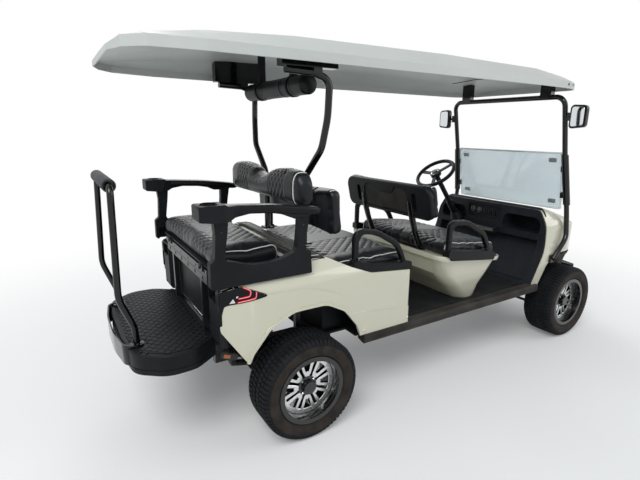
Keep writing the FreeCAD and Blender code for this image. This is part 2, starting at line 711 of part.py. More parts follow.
def tilted_ring(row, inset=0.0):
    """Rounded rectangle whose rear and front edges may lie at two heights."""
    z_rear, z_front, x_rear, x_front, half_width, radius = row

    def place(u, v):
        share = (u - x_rear) / (x_front - x_rear)
        return V(u, v, z_rear + (z_front - z_rear) * share)

    x0, x1, half = x_rear + inset, x_front - inset, half_width - inset
    rows = [(x0, half, radius), (x1, half, radius), (x1, -half, radius), (x0, -half, radius)]
    return outline(rows, place)


def seat_pod():
    """Flared tub under the front bench, narrow at the floor, rolled rim on top."""
    outer = Part.makeLoft([tilted_ring(row) for row in POD_SECTIONS], True, True)
    inner = Part.makeLoft([tilted_ring(row, WALL) for row in POD_SECTIONS], True, True)
    rim_outer = Part.makeLoft([tilted_ring(row) for row in POD_RIM], True, True)
    rim_inner = Part.makeLoft([tilted_ring(row, POD_RIM_WIDTH) for row in POD_RIM], True, True)
    deck_rows = []
    for drop in (POD_DECK_DROP + POD_DECK_THICKNESS, POD_DECK_DROP):
        z_rear, z_front, *plan = POD_RIM[-1]
        deck_rows.append(tilted_ring((z_rear - drop, z_front - drop, *plan), POD_RIM_WIDTH - 2))
    deck = Part.makeLoft(deck_rows, True, True)
    return joined([outer.cut(inner), rim_outer.cut(rim_inner).cut(inner), deck])


def rim_top(x):
    """Height of the pod's sloping rim."""
    z_rear, z_front, x_rear, x_front, _, _ = POD_RIM[-1]
    return z_rear + (z_front - z_rear) * (x - x_rear) / (x_front - x_rear)


FRONT_SEAT_SLOPE = math.degrees(math.atan2(rim_top(0) - rim_top(1000), 1000))
FRONT_CUSHION = (1160.0, 1690.0)
FRONT_CUSHION_THICKNESS = 118.0


def front_seat_cushion():
    x0, x1 = FRONT_CUSHION
    z0 = rim_top(x0) - POD_DECK_DROP + SEAT_GAP
    pad = soft_block(x0, x1, FRONT_SEAT_HALF_WIDTH, z0, z0 + FRONT_CUSHION_THICKNESS, PAD_ROUND)
    return turned(pad, V(x0, 0, z0), -FRONT_SEAT_SLOPE)


def bench_back(x, z, height, thickness, lean, half_width=SEAT_HALF_WIDTH):
    """Back pad whose lower rear edge stands at x, z."""
    pad = soft_block(x, x + thickness, half_width, z, z + height, PAD_ROUND)
    return turned(pad, V(x, 0, z), lean)


FRONT_BACK = (1036.0, 1068.0)      # lower rear edge of the shell
FRONT_BACK_LEAN = 12.0
FRONT_BACK_HEIGHT = 236.0
FRONT_SHELL_DEPTH = 34.0
FRONT_POST_Y = FRONT_BACK_HALF_WIDTH - 203
FRONT_POST_RADIUS = 14.0


def front_seat_back():
    x, z = FRONT_BACK
    pad = soft_block(x + FRONT_SHELL_DEPTH, x + FRONT_SHELL_DEPTH + 72, FRONT_BACK_HALF_WIDTH, z,
                     z + FRONT_BACK_HEIGHT, PAD_ROUND - 4)
    return turned(pad, V(x, 0, z), FRONT_BACK_LEAN)


def front_back_shell():
    """Moulded rear shell of the front back: rolled border, two grip slots and a notched tray."""
    x, z = FRONT_BACK
    half, top = FRONT_BACK_HALF_WIDTH, z + FRONT_BACK_HEIGHT
    rows = [(-half, z, 60), (-half, top, 80), (half, top, 80), (half, z, 60)]
    shell = front_prism(rows, x, x + FRONT_SHELL_DEPTH - SEAT_GAP)
    shell = shell.makeFillet(14, [edge for edge in shell.Edges if abs(edge.CenterOfMass.x - x) < 0.01])
    for side in (-1, 1):
        y = side * (half - 157)
        slot = [(y - 22, z + 50, 20), (y - 22, z + 178, 20), (y + 22, z + 178, 20), (y + 22, z + 50, 20)]
        shell = shell.cut(front_prism(slot, x - 1, x + 18))
        y, reach = side * FRONT_POST_Y, FRONT_POST_RADIUS + SEAT_GAP
        shell = shell.cut(box(x - 1, x + 31, y - reach, y + reach, z - 1, z + 76))
    end = half - 225
    tray = [(-end, z + 26, 20), (-end, z + 206, 60), (-118, z + 206, 16), (-84, z + 158, 30), (84, z + 158, 30),
            (118, z + 206, 16), (end, z + 206, 60), (end, z + 26, 20)]
    shell = shell.cut(front_prism(tray, x - 1, x + 7))
    return turned(shell, V(x, 0, z), FRONT_BACK_LEAN)


def front_back_frame():
    """Two bent tube posts that carry the front back, on a foot plate along the pod's rear rim."""
    foot_x = POD_RIM[-1][2] + 14
    foot_z = rim_top(foot_x)
    pivot = V(foot_x, 0, foot_z)
    pieces = [turned(box(foot_x, foot_x + 54, -310, 310, foot_z, foot_z + 6), pivot, -FRONT_SEAT_SLOPE)]
    x, z = FRONT_BACK
    for side in (-1, 1):
        y = side * FRONT_POST_Y
        line = [(x, y, z + 72, 0), (x + 11, y, z + 17, 150), (x + 22, y, z - 48, 150), (foot_x + 44, y, foot_z - 26, 0)]
        pieces.append(tube(line, FRONT_POST_RADIUS))
    under = turned(box(foot_x - 200, foot_x + 300, -400, 400, foot_z - 200, foot_z + SEAT_GAP), pivot,
                   -FRONT_SEAT_SLOPE)
    return joined(pieces).cut(under)


MIDDLE_CUSHION = (205.0, 775.0)


def middle_seat_cushion():
    return soft_block(MIDDLE_CUSHION[0], MIDDLE_CUSHION[1], SEAT_HALF_WIDTH,
                      RECESS_FLOOR_Z + SEAT_GAP, RECESS_FLOOR_Z + 112, PAD_ROUND)


STRUT_FOOT_X = 186.0
STRUT_FOOT_Y = 255.0
BACK_PLATE = 12.0
RAIL_LINE_Y = BODY_HALF_WIDTH - 120   # roof rail above each rear strut


MIDDLE_BACK = (STRUT_FOOT_X + STRUT_RADIUS + BACK_PLATE + 14, 1078.0)
MIDDLE_BACK_LEAN = 4.0


def middle_seat_back():
    x, z = MIDDLE_BACK
    return bench_back(x, z, 265, 96, MIDDLE_BACK_LEAN, SEAT_HALF_WIDTH - 15)


def rear_seat_back():
    """Low back pad of the rear bench, dipped in the middle."""
    end = SEAT_HALF_WIDTH - 20
    rows = [(-end, 1252, 50), (-end, 1432, 70), (200 - end, 1458, 120), (-110, 1452, 90), (0, 1408, 60),
            (110, 1452, 90), (end - 200, 1458, 120), (end, 1432, 70), (end, 1252, 50)]
    return front_prism(rows, 4, 116)


def hip_loop(outer, inner, tray, below, y):
    """Closed loop on a wider moulded tray, trimmed to what it stands on, left and right."""
    ring = side_prism(outer, y - 17, y + 17).cut(side_prism(inner, y - 20, y + 20))
    rim = [edge for edge in ring.Edges if abs(abs(edge.CenterOfMass.y - y) - 17) < 0.01]
    ring = ring.makeFillet(9, rim)
    base = side_prism(tray, y - 26, y + 32)
    base = base.cut(side_prism(inner, y - 60, y + 60))
    return both_sides(joined([ring, base]).cut(side_prism(below, y - 60, y + 60)))


def hip_restraints_front():
    """Moulded loops that stand on the pod's rim, with a flange down over its side."""
    outer = [(1128, 766, 0), (1132, 1083, 62), (1307, 1071, 150), (1499, 974, 170), (1608, 766, 0)]
    inner = [(1163, 878, 18), (1166, 1047, 44), (1302, 1033, 120), (1471, 944, 130), (1538, 828, 16)]
    tray = [(1124, 767, 0), (1126, 880, 14), (1162, 884, 14), (1548, 834, 20), (1611, 799, 12), (1611, 747, 0)]
    below = [(900, rim_top(900) + SEAT_GAP, 0), (1750, rim_top(1750) + SEAT_GAP, 0), (1750, 600, 0), (900, 600, 0)]
    loops = hip_loop(outer, inner, tray, below, FRONT_SEAT_HALF_WIDTH + 34)
    flange = [(1142, rim_top(1142) + 6, 0), (1602, rim_top(1602) + 6, 0), (1592, rim_top(1592) - 22, 12),
              (1154, rim_top(1154) - 22, 12)]
    skin = side_prism(flange, POD_HALF_WIDTH + 4 + SEAT_GAP, FRONT_SEAT_HALF_WIDTH + 66)
    return joined([loops, skin, mirrored(skin)])


def hip_restraints_middle():
    """Moulded loops that stand on the rear body's shoulders."""
    outer = [(330, 820, 0), (332, 1130, 58), (500, 1104, 150), (668, 1010, 170), (756, 820, 0)]
    inner = [(364, 938, 18), (366, 1096, 44), (496, 1072, 110), (640, 988, 130), (700, 884, 16),
             (480, 900, 40)]
    tray = [(327, 820, 0), (328, 946, 14), (380, 950, 14), (500, 912, 60), (690, 898, 20), (756, 880, 12),
            (758, 800, 0)]
    below = [(x, z + SEAT_GAP, r) for x, z, r in BODY_SIDE[1:4]]
    below = [(900, below[0][1], 0), *below, (200, 921 + SEAT_GAP + 60, 0), (200, 700, 0), (900, 700, 0)]
    return hip_loop(outer, inner, tray, below, SEAT_HALF_WIDTH + 36)


# Rear seat, footrest and grab bar


def rear_seat_frame():
    """Deck ring, posts, footrest arms, perforated rear angle and hinge lugs."""
    t = 30.0
    x0, x1, half = -456, 80, DECK_HALF_WIDTH
    deck_low = DECK_TOP - t
    ring = box(x0, x1, -half, half, deck_low, DECK_TOP)
    ring = ring.cut(box(x0 + t, x1 - t, -half + t, half - t, deck_low - 1, DECK_TOP + 1))
    pieces = [ring, box(x0, x1, -t / 2, t / 2, deck_low, DECK_TOP)]
    for side in (-1, 1):
        y = side * STEP_ARM_Y
        pieces.append(box(-460, -430, y - 15, y + 15, 560, deck_low))
        pieces.append(box(40, 70, side * 400 - 15, side * 400 + 15, FLOOR_TOP, deck_low))
        arm = [(-330, RAIL_TOP, 0), (-330, RAIL_TOP - 40, 0), (-372, RAIL_TOP - 40, 20), (-440, 560, 20),
               (-800, 560, 0), (-800, STEP_TOP - 10, 0), (-430, STEP_TOP - 10, 20), (-360, RAIL_TOP, 20)]
        pieces.append(side_prism(arm, y - 20, y + 20))
        pieces.append(box(40, 70, min(side * 275, side * 415), max(side * 275, side * 415),
                          RAIL_TOP - 30, RAIL_TOP))
        pieces.append(box(40, 70, side * 400 - 15, side * 400 + 15, RAIL_TOP - 30, FLOOR_TOP + 1))
    angle = box(-462, -458, -415, 415, DECK_TOP - 78, DECK_TOP)
    angle = angle.cut(box(-463, -460.5, -420, 420, DECK_TOP - 41, DECK_TOP - 37))
    holes = [Part.makeCylinder(7, 30, V(-480, -375 + 150 * i, DECK_TOP - 19), V(1, 0, 0)) for i in range(6)]
    for i in range(6):
        y = -345 + 138 * i
        holes.append(box(-480, -450, y - 10, y + 10, DECK_TOP - 68, DECK_TOP - 48))
    angle = angle.cut(holes)
    pieces.append(angle)
    pieces.append(box(-462, -420, -415, 415, DECK_TOP - 4, DECK_TOP))
    frame = joined(pieces)
    for y in (-330, 330):
        frame = frame.cut(across(FLIP_PIN_RADIUS + 6, FLIP_AXIS_X, FLIP_AXIS_Z, y - 21, y + 21))
    lugs = []
    for y in (-330, 330):
        lugs.append(box(-470, -444, y - 34, y - 22, FLIP_AXIS_Z - 24, FLIP_AXIS_Z + 3))
        lugs.append(box(-470, -444, y + 22, y + 34, FLIP_AXIS_Z - 24, FLIP_AXIS_Z + 3))
        lugs.append(across(FLIP_PIN_RADIUS, FLIP_AXIS_X, FLIP_AXIS_Z, y - 34, y + 34))
    return joined([frame] + lugs)


def rear_seat_board():
    """Cushion board with the hinge eyes that turn on the deck's pins."""
    board = box(REAR_CUSHION_BACK_X, REAR_CUSHION_FRONT_X + 6, -REAR_CUSHION_HALF_WIDTH + 14,
                REAR_CUSHION_HALF_WIDTH - 14, BOARD_BOTTOM, BOARD_BOTTOM + BOARD_THICKNESS)
    pieces = [board]
    for y in (-330, 330):
        pieces.append(across(FLIP_PIN_RADIUS + 4, FLIP_AXIS_X, FLIP_AXIS_Z, y - 17, y + 17))
        pieces.append(box(FLIP_AXIS_X, FLIP_AXIS_X + 30, y - 17, y + 17, BOARD_BOTTOM - 1, BOARD_BOTTOM + 4))
    stops = []
    for x in (-380, -140):
        for y in (15 - DECK_HALF_WIDTH, DECK_HALF_WIDTH - 15):
            stops.append(Part.makeCylinder(10, BOARD_BOTTOM - DECK_TOP - SEAT_GAP, V(x, y, DECK_TOP + SEAT_GAP)))
    board = joined(pieces + stops)
    for y in (-330, 330):
        board = board.cut(across(FLIP_PIN_RADIUS + PIN_GAP, FLIP_AXIS_X, FLIP_AXIS_Z, y - 20, y + 20))
    return board


def rear_seat_cushion():
    return soft_block(REAR_CUSHION_BACK_X, REAR_CUSHION_FRONT_X, REAR_CUSHION_HALF_WIDTH,
                      BOARD_BOTTOM + BOARD_THICKNESS + SEAT_GAP, REAR_CUSHION_TOP, PAD_ROUND)


ARM_Y0, ARM_Y1 = SEAT_HALF_WIDTH + 10, SEAT_HALF_WIDTH + 120
CUP_X, CUP_RADIUS, CUP_DEPTH = -486.0, 39.0, 52.0


def armrests():
    """Arm with cup holder, two posts and the side skirt below, left and right."""
    skirt = [
        (-500, BODY_TOP + SEAT_GAP, 12), (-498, 1060, 12), (-474, 1078, 12), (-466, 1200, 60), (-474, 1275, 10),
        (-400, 1275, 10), (-408, 1200, 60), (-425, 1086, 14), (-418, 1066, 10), (-300, 1029, 120),
        (-210, 1024, 200), (-120, 1036, 60), (-58, 1062, 10), (-47, 1078, 10), (-36, 1180, 60), (-34, 1262, 8),
        (29, 1262, 8), (14, 1171, 60), (0, 1079, 8), (6, 1062, 6), (34, 1054, 8), (40, BODY_TOP + SEAT_GAP, 6),
    ]
    lower = side_prism(skirt, ARM_Y0 + 30, ARM_Y0 + 70)
    lower = lower.cut(side_prism([(-480, 900, 0), (-480, 1010, 0), (-18, 1010, 0), (-18, 900, 0)], ARM_Y0 + 20, ARM_Y0 + 62))
    lower = lower.cut(body_block(-SEAT_GAP))
    top = [
        (-546, 1266, 10), (-546, 1336, 10), (-424, 1336, 8), (-412, 1327, 8), (-185, 1311, 400), (48, 1281, 90),
        (84, 1264, 6), (48, 1250, 20), (4, 1238, 30), (-88, 1242, 20), (-130, 1262, 30), (-200, 1276, 60),
        (-300, 1283, 60), (-378, 1272, 30), (-404, 1258, 10), (-470, 1256, 8),
    ]
    pad = side_prism(top, ARM_Y0, ARM_Y1)
    waist = [(-560, ARM_Y0, 0), (-560, ARM_Y1, 0), (-430, ARM_Y1, 40), (-360, ARM_Y1 - 18, 60),
             (110, ARM_Y1 - 32, 30), (110, ARM_Y0 + 32, 30), (-360, ARM_Y0 + 18, 60), (-430, ARM_Y0, 40)]
    pad = pad.common(plan_prism(waist, 1200, 1400))
    cup = Part.makeCylinder(CUP_RADIUS, CUP_DEPTH + 50, V(CUP_X, (ARM_Y0 + ARM_Y1) / 2, 1334 - CUP_DEPTH))
    stays = [box(x, x + 40, DECK_HALF_WIDTH + SEAT_GAP, ARM_Y0 + 64, DECK_TOP - 26, DECK_TOP - 4) for x in (-440, -80)]
    arm = joined([lower.fuse(pad).cut(cup)] + stays)
    return both_sides(arm)


TREAD_HEIGHT = 2.5             # ribbed panel of the step, above its smooth border
TREAD_INSET = 26.0
STEP_PLAN = [(-432, 405, 30), (-560, 500, 120), (-700, 505, 150), (-836, 400, 130), (-862, 180, 400)]


def footrest():
    """Moulded step: top, rolled skirt all round, open below."""
    rows = both_halves(STEP_PLAN)
    low = STEP_TOP - STEP_DEPTH
    outer = plan_prism(rows, low, STEP_TOP)
    top_rim = [edge for edge in outer.Edges
               if abs(edge.CenterOfMass.z - STEP_TOP) < 0.01 and edge.CenterOfMass.x < -480]
    outer = outer.makeFillet(9, top_rim)
    groove = plan_prism(rows, low + 26, low + 31).cut(plan_prism(rows, low + 20, low + 40, 2.5))
    outer = outer.cut(groove.common(box(-900, -500, -600, 600, low, STEP_TOP)))
    inner = plan_prism(rows, low - 1, STEP_TOP - STEP_WALL - 2, STEP_WALL)
    shell = outer.cut(inner)
    shell = shell.cut(box(-461, -380, -STEP_ARM_Y - 21, STEP_ARM_Y + 21, low - 1, STEP_TOP - STEP_WALL - 2))
    for side in (-1, 1):
        y = side * STEP_ARM_Y
        shell = shell.cut(box(-461, -429, y - 16, y + 16, STEP_TOP - 20, STEP_TOP + 1))
    tread = plan_prism(rows, STEP_TOP - 2, STEP_TOP + TREAD_HEIGHT, TREAD_INSET)
    tread = tread.common(box(-900, -474, -600, 600, STEP_TOP - 5, STEP_TOP + 5))
    for side in (-1, 1):
        tread = tread.cut(Part.makeCylinder(52, 20, V(GRAB_FOOT[0], side * GRAB_FOOT[1], STEP_TOP - 10)))
    return joined([shell, tread])


def grab_bar():
    """U tube on two feet with a padded grip, and the curved guard behind the step."""
    foot_x, foot_y = GRAB_FOOT
    left = [
        (foot_x, foot_y, STEP_TOP + 4, 0), (foot_x - 6, foot_y + 10, STEP_TOP + 105, 90),
        (-866, foot_y + 42, STEP_TOP + 270, 160), (GRIP_X, foot_y - 4, GRIP_Z, 45),
    ]
    pieces = [tube(left + [(x, -y, z, r) for x, y, z, r in reversed(left)], GRAB_RADIUS)]
    for side in (-1, 1):
        pieces.append(Part.makeCylinder(34, 10, V(foot_x, side * foot_y, STEP_TOP)))
    end = foot_y - 38
    sleeve = across(GRIP_RADIUS, GRIP_X, GRIP_Z, -end, end)
    for y in (-end - 1, end - 30):
        pocket = across(GRIP_RADIUS - 6, GRIP_X, GRIP_Z, y, y + 31)
        sleeve = sleeve.cut(pocket)
    pieces.append(sleeve)
    guard_rows = [(-790, 318, 0), (-790, 334, 0), (-862, 326, 60), (-REAR_OVERHANG, 120, 700)]
    outer = plan_prism(both_halves(guard_rows), STEP_TOP - 92, STEP_TOP + 14)
    inner_rows = [(-700, 326, 0), (-790, 320, 0), (-856, 318, 56), (-REAR_OVERHANG + 8, 114, 690)]
    guard = outer.cut(plan_prism(both_halves(inner_rows), STEP_TOP - 100, STEP_TOP + 30))
    guard = guard.cut(plan_prism(both_halves(STEP_PLAN), STEP_TOP - STEP_DEPTH - 5, STEP_TOP, -SEAT_GAP))
    pieces.append(guard)
    for side in (-1, 1):
        pieces.append(box(-812, -788, side * 318 - 14, side * 318 + 14, STEP_TOP, STEP_TOP + 12))
    return joined(pieces)


# Roof, struts, windshield

ROOF_HALF_WIDTH = BODY_HALF_WIDTH - 20
ROOF_SECTIONS = [
    # x, edge inward of the half width, rim z, shoulder inward, crown z
    (-800, 280, 1984, 310, 2014),
    (-760, 150, 1982, 190, 2030),
    (-680, 60, 1980, 110, 2052),
    (-440, 12, 1976, 80, 2096),
    (0, 0, 1972, 75, 2132),
    (1000, 0, 1966, 75, 2142),
    (1900, 0, 1960, 75, 2118),
    (2260, 16, 1956, 100, 2072),
    (2390, 70, 1955, 150, 2034),
    (2430, 160, 1956, 220, 2010),
]


def roof_ring(row, inset, drop):
    """Cross section: flat below, rim, shoulder and crowned top."""
    x, edge_in, rim_z, shoulder_in, crown = row
    half, shoulder = ROOF_HALF_WIDTH - edge_in, ROOF_HALF_WIDTH - shoulder_in
    low = rim_z - drop
    rim_top = rim_z + ROOF_RIM - (ROOF_RIM - 24) * (crown < 2030) - inset
    knee_z = rim_top + 0.62 * (crown - inset - rim_top)
    top = crown - inset
    half, shoulder = half - inset, shoulder - inset
    points = [V(x, half, low), V(x, half, rim_top), V(x, shoulder, knee_z), V(x, shoulder * 0.45, top),
              V(x, -shoulder * 0.45, top), V(x, -shoulder, knee_z), V(x, -half, rim_top), V(x, -half, low)]
    return Part.makePolygon(points + [points[0]])


def roof_solid(inset, drop):
    return Part.makeLoft([roof_ring(row, inset, drop) for row in ROOF_SECTIONS], True, True)


def roof_cavity():
    """Space under the shell, drawn in from both ends."""
    cavity = roof_solid(ROOF_WALL, 200)
    ends = box(-800 + ROOF_WALL, 2430 - ROOF_WALL, -700, 700, 1700, 2300)
    return cavity.common(ends)


def roof():
    shell = roof_solid(0, 0).cut(roof_cavity())
    return shell


def under_roof(shape):
    """Trim a bracket to the underside of the shell."""
    limit = roof_cavity()
    return shape.common(limit)


def rear_struts():
    """Bent tube each side from the seat base to the roof, with its roof rail."""
    path = [
        (STRUT_FOOT_X, STRUT_FOOT_Y, 1004, 0), (STRUT_FOOT_X, STRUT_FOOT_Y + 8, 1385, 80),
        (194, RAIL_LINE_Y - 40, 1560, 110), (208, RAIL_LINE_Y - 4, 1720, 400), (216, RAIL_LINE_Y, 1905, 62),
        (120, RAIL_LINE_Y, 1938, 60), (-40, RAIL_LINE_Y, 1944, 0),
    ]
    strut = tube(path, STRUT_RADIUS)
    rail = under_roof(box(-70, 250, RAIL_LINE_Y - 28, RAIL_LINE_Y + 28, 1958, 2200))
    hollow = box(-60, 240, RAIL_LINE_Y - 21, RAIL_LINE_Y + 21, 1964, 2200)
    foot = box(STRUT_FOOT_X - 32, STRUT_FOOT_X + 32, STRUT_FOOT_Y - 40, STRUT_FOOT_Y + 40, 996, 1006)
    cup = box(110, 160, RAIL_LINE_Y - 21, RAIL_LINE_Y + 21, 1930, 1966)
    return both_sides(joined([strut, rail.cut(hollow), foot, cup]))


MOUNT_HALF_LENGTH = 330.0


def seat_back_mounts():
    """Tie plates between the struts that both back pads bolt to."""
    x, z = MIDDLE_BACK
    front_plate = box(x - 6 - SEAT_GAP, x - SEAT_GAP, -MOUNT_HALF_LENGTH, MOUNT_HALF_LENGTH, z + 42, z + 212)
    pieces = [box(116 + SEAT_GAP, 128, -MOUNT_HALF_LENGTH, MOUNT_HALF_LENGTH, 1290, 1370),
              turned(front_plate, V(x, 0, z), MIDDLE_BACK_LEAN)]
    for side in (-1, 1):
        y = side * (STRUT_FOOT_Y + 6)
        pieces.append(box(120, 214, y - 26, y + 26, z + 204, z + 212))
        pieces.append(box(120, 200, y - 26, y + 26, 1330, 1338))
    plates = joined(pieces)
    path = [(STRUT_FOOT_X, STRUT_FOOT_Y, 1004, 0), (STRUT_FOOT_X, STRUT_FOOT_Y + 8, 1385, 80),
            (194, RAIL_LINE_Y - 40, 1560, 0)]
    post = tube(path, STRUT_RADIUS + SEAT_GAP)
    return plates.cut(post).cut(mirrored(post))


STRUT_LOW_Y = BODY_HALF_WIDTH + 2
SLEEVE_WALL = 7.0


def strut_loop(radius):
    """One bent tube: up from the left cowl side, over, and down the right."""
    half = [
        (2262, STRUT_LOW_Y, 668, 0), (2404, STRUT_LOW_Y, 826, 130), (2432, STRUT_LOW_Y - 42, 1040, 500),
        (2348, STRUT_LOW_Y - 72, 1493, 900), (2262, STRUT_LOW_Y - 79, 1904, 70),
    ]
    return tube(half + [(x, -y, z, r) for x, y, z, r in reversed(half)], radius)


def strut_sleeves(grow):
    """Grip sleeve round each strut beside the panes."""
    return strut_loop(STRUT_RADIUS + SLEEVE_WALL + grow).common(box(2200, 2600, -700, 700, 1085, 1478))


def front_struts():
    """Front roof strut with its foot plates and roof brackets."""
    pieces = [strut_loop(STRUT_RADIUS), strut_sleeves(0)]
    for side in (-1, 1):
        pieces.append(under_roof(box(2238, 2286, side * 380 - 45, side * 380 + 45, 1900, 2200)))
        pieces.append(box(2262 - 26, 2262 + 26, *sorted((side * (COWL_HALF_WIDTH - 0.2), side * BODY_HALF_WIDTH)), 640, 700))
    return joined(pieces)


PANE_HALF_WIDTH = BODY_HALF_WIDTH - 94
WINDSHIELD_LEAN = math.degrees(math.atan2(2429 - 2348, 1493 - 1040))


def windshield():
    """Lower pane and the folded upper pane in front of it."""
    panes = []
    for offset in (0, 14):
        rows = [(-PANE_HALF_WIDTH, 0, 12), (-PANE_HALF_WIDTH, 456, 12), (PANE_HALF_WIDTH, 456, 12),
                (PANE_HALF_WIDTH, 0, 12)]
        pane = front_prism(rows, offset, offset + PANE_THICKNESS)
        pane.translate(V(2426, 0, 1040))
        panes.append(turned(pane, V(2426, 0, 1040), WINDSHIELD_LEAN))
    return Part.makeCompound(panes)


def windshield_clips():
    """Spacer blocks that hold both panes, and the brackets to the struts."""
    pieces = []
    for z in (60, 396):
        for side in (-1, 1):
            grip = box(PANE_THICKNESS + SEAT_GAP, 14 - SEAT_GAP, -30, 30, -16, 16)
            grip.translate(V(2426, side * (PANE_HALF_WIDTH - 76), 1040 + z))
            clip = turned(grip, V(2426, 0, 1040), WINDSHIELD_LEAN)
            pieces.append(clip)
    for z in (120, 330):
        for side in (-1, 1):
            edge0, edge1 = sorted((side * (PANE_HALF_WIDTH + SEAT_GAP), side * (PANE_HALF_WIDTH + 39)))
            ear = box(-8, 26, edge0, edge1, -22, 22)
            ear.translate(V(2426, 0, 1040 + z))
            pieces.append(turned(ear, V(2426, 0, 1040), WINDSHIELD_LEAN))
    return Part.makeCompound(pieces).cut(strut_loop(STRUT_RADIUS + SEAT_GAP)).cut(strut_sleeves(SEAT_GAP))


def sound_bar():
    """Round speaker bar under the roof with two clamps and a roof bracket."""
    x, z = 150.0, 1892.0
    pieces = [across(SOUND_RADIUS, x, z, -SOUND_HALF_LENGTH, SOUND_HALF_LENGTH)]
    for side in (-1, 1):
        y = side * 210
        pieces.append(across(SOUND_RADIUS + 6, x, z, y - 16, y + 16))
        pieces.append(under_roof(box(x - 20, x + 20, y - 14, y + 14, z + 40, 2200)))
    return joined(pieces)


def mirrors():
    """Side mirror and its clamp on each front strut."""
    y = BODY_HALF_WIDTH
    housing = [(y - 20, 1672, 25), (y - 20, 1846, 30), (y + 100, 1838, 30), (y + 100, 1684, 25)]
    head = front_prism(housing, 2256, 2286)
    glass = front_prism(housing, 2250, 2257, 10)
    arm = cylinder(V(2300, y - 52, 1760), V(2276, y, 1760), 9)
    clamp = box(2276, 2320, y - 54, y - 34, 1730, 1790)
    return both_sides(joined([head, glass, arm, clamp]))


def build():
    """Every piece by node name, placed from the rear axle."""
    left_knuckle = knuckle()
    parts = {
        "frame_rails": frame_rails(),
        "cross_members": cross_members(),
        "outriggers": outriggers(),
        "floor_pan": floor_pan(),
        "running_boards": running_boards(),
        "front_cowl": front_cowl(),
        "headlights": headlights(),
        "front_bumper": front_bumper(),
        "dash": dash(),
        "pedals": pedals(),
        "steering_column": steering_column(),
        "steering_wheel": steering_wheel(),
        "rear_body": rear_body(),
        "tail_panel": tail_panel(),
        "tail_lights": tail_lights(),
        "battery_block": battery_block(),
        "seat_pod": seat_pod(),
        "front_seat_cushion": front_seat_cushion(),
        "front_seat_back": front_seat_back(),
        "front_back_shell": front_back_shell(),
        "front_back_frame": front_back_frame(),
        "hip_restraints_front": hip_restraints_front(),
        "middle_seat_cushion": middle_seat_cushion(),
        "middle_seat_back": middle_seat_back(),
        "hip_restraints_middle": hip_restraints_middle(),
        "rear_seat_frame": rear_seat_frame(),
        "rear_seat_board": rear_seat_board(),
        "rear_seat_cushion": rear_seat_cushion(),
        "rear_seat_back": rear_seat_back(),
        "seat_back_mounts": seat_back_mounts(),
        "armrests": armrests(),
        "footrest": footrest(),
        "grab_bar": grab_bar(),
        "roof": roof(),
        "rear_struts": rear_struts(),
        "front_struts": front_struts(),
        "windshield": windshield(),
        "windshield_clips": windshield_clips(),
        "sound_bar": sound_bar(),
        "mirrors": mirrors(),
        "front_axle": front_axle(),
        "rear_axle": rear_axle(),
        "knuckle_left": left_knuckle,
        "knuckle_right": mirrored(left_knuckle),
        "tie_rod": tie_rod(),
    }
    ring = tyre()
    for end, axle_x in (("front", FRONT_AXLE_X), ("rear", REAR_AXLE_X)):
        for name, side in (("left", 1), ("right", -1)):
            parts["tyre_%s_%s" % (end, name)] = wheel_place(ring, axle_x, side)
            parts["rim_%s_%s" % (end, name)] = wheel_place(rim(side), axle_x, side)
    return parts


def save(name, shape):
    """Move a piece into the part's own frame and write it."""
    placed = shape.copy()
    placed.translate(V(ORIGIN_SHIFT, 0, 0))
    placed.exportStep("parts/%s.step" % name)
    low, high = placed.BoundBox, placed.Volume / 1e6
    print("%-22s solids %2d valid %s volume %8.3f l  x %8.1f %8.1f  y %8.1f %8.1f  z %7.1f %7.1f" % (
        name, len(placed.Solids), placed.isValid(), high,
        low.XMin, low.XMax, low.YMin, low.YMax, low.ZMin, low.ZMax))


os.makedirs("parts", exist_ok=True)
for node, piece in build().items():
    save(node, piece)
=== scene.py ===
"""Look of the lifted golf cart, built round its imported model.

Metres, +X forward, +Y to the left, +Z up, in the frame of the model itself.
"""

import json
import math

import bmesh
import bpy
from mathutils import Matrix, Vector
from mathutils.bvhtree import BVHTree

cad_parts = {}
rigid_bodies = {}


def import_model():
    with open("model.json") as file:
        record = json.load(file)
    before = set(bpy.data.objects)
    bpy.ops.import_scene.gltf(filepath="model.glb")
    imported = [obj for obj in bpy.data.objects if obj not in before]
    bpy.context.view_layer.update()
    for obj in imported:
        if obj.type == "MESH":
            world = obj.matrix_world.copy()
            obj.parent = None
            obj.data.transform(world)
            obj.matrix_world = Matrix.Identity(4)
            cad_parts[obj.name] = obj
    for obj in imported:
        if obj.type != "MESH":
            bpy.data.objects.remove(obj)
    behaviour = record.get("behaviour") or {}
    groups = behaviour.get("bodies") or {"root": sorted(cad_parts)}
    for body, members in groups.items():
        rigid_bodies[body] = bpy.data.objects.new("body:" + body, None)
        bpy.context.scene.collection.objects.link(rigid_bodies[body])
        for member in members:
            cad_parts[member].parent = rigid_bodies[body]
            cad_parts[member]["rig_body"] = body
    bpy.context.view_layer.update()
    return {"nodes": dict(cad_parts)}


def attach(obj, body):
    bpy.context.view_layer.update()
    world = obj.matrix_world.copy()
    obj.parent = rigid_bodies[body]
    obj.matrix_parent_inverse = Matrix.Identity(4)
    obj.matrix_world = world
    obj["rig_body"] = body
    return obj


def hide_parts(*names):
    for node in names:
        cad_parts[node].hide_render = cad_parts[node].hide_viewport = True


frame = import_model()

MM = 0.001
REAR_AXLE_X = -1.0             # rear axle in this frame; the front one is a wheelbase ahead
FRONT_AXLE_X = 1.44
AXLE_Z = 0.292
WHEEL_Y = 0.575
CHASSIS = "chassis"


# Colours and materials


def linear(code):
    """An sRGB hex colour as the linear values that a shader reads."""
    values = [int(code[i:i + 2], 16) / 255 for i in (0, 2, 4)]
    return [v / 12.92 if v <= 0.04045 else ((v + 0.055) / 1.055) ** 2.4 for v in values] + [1.0]


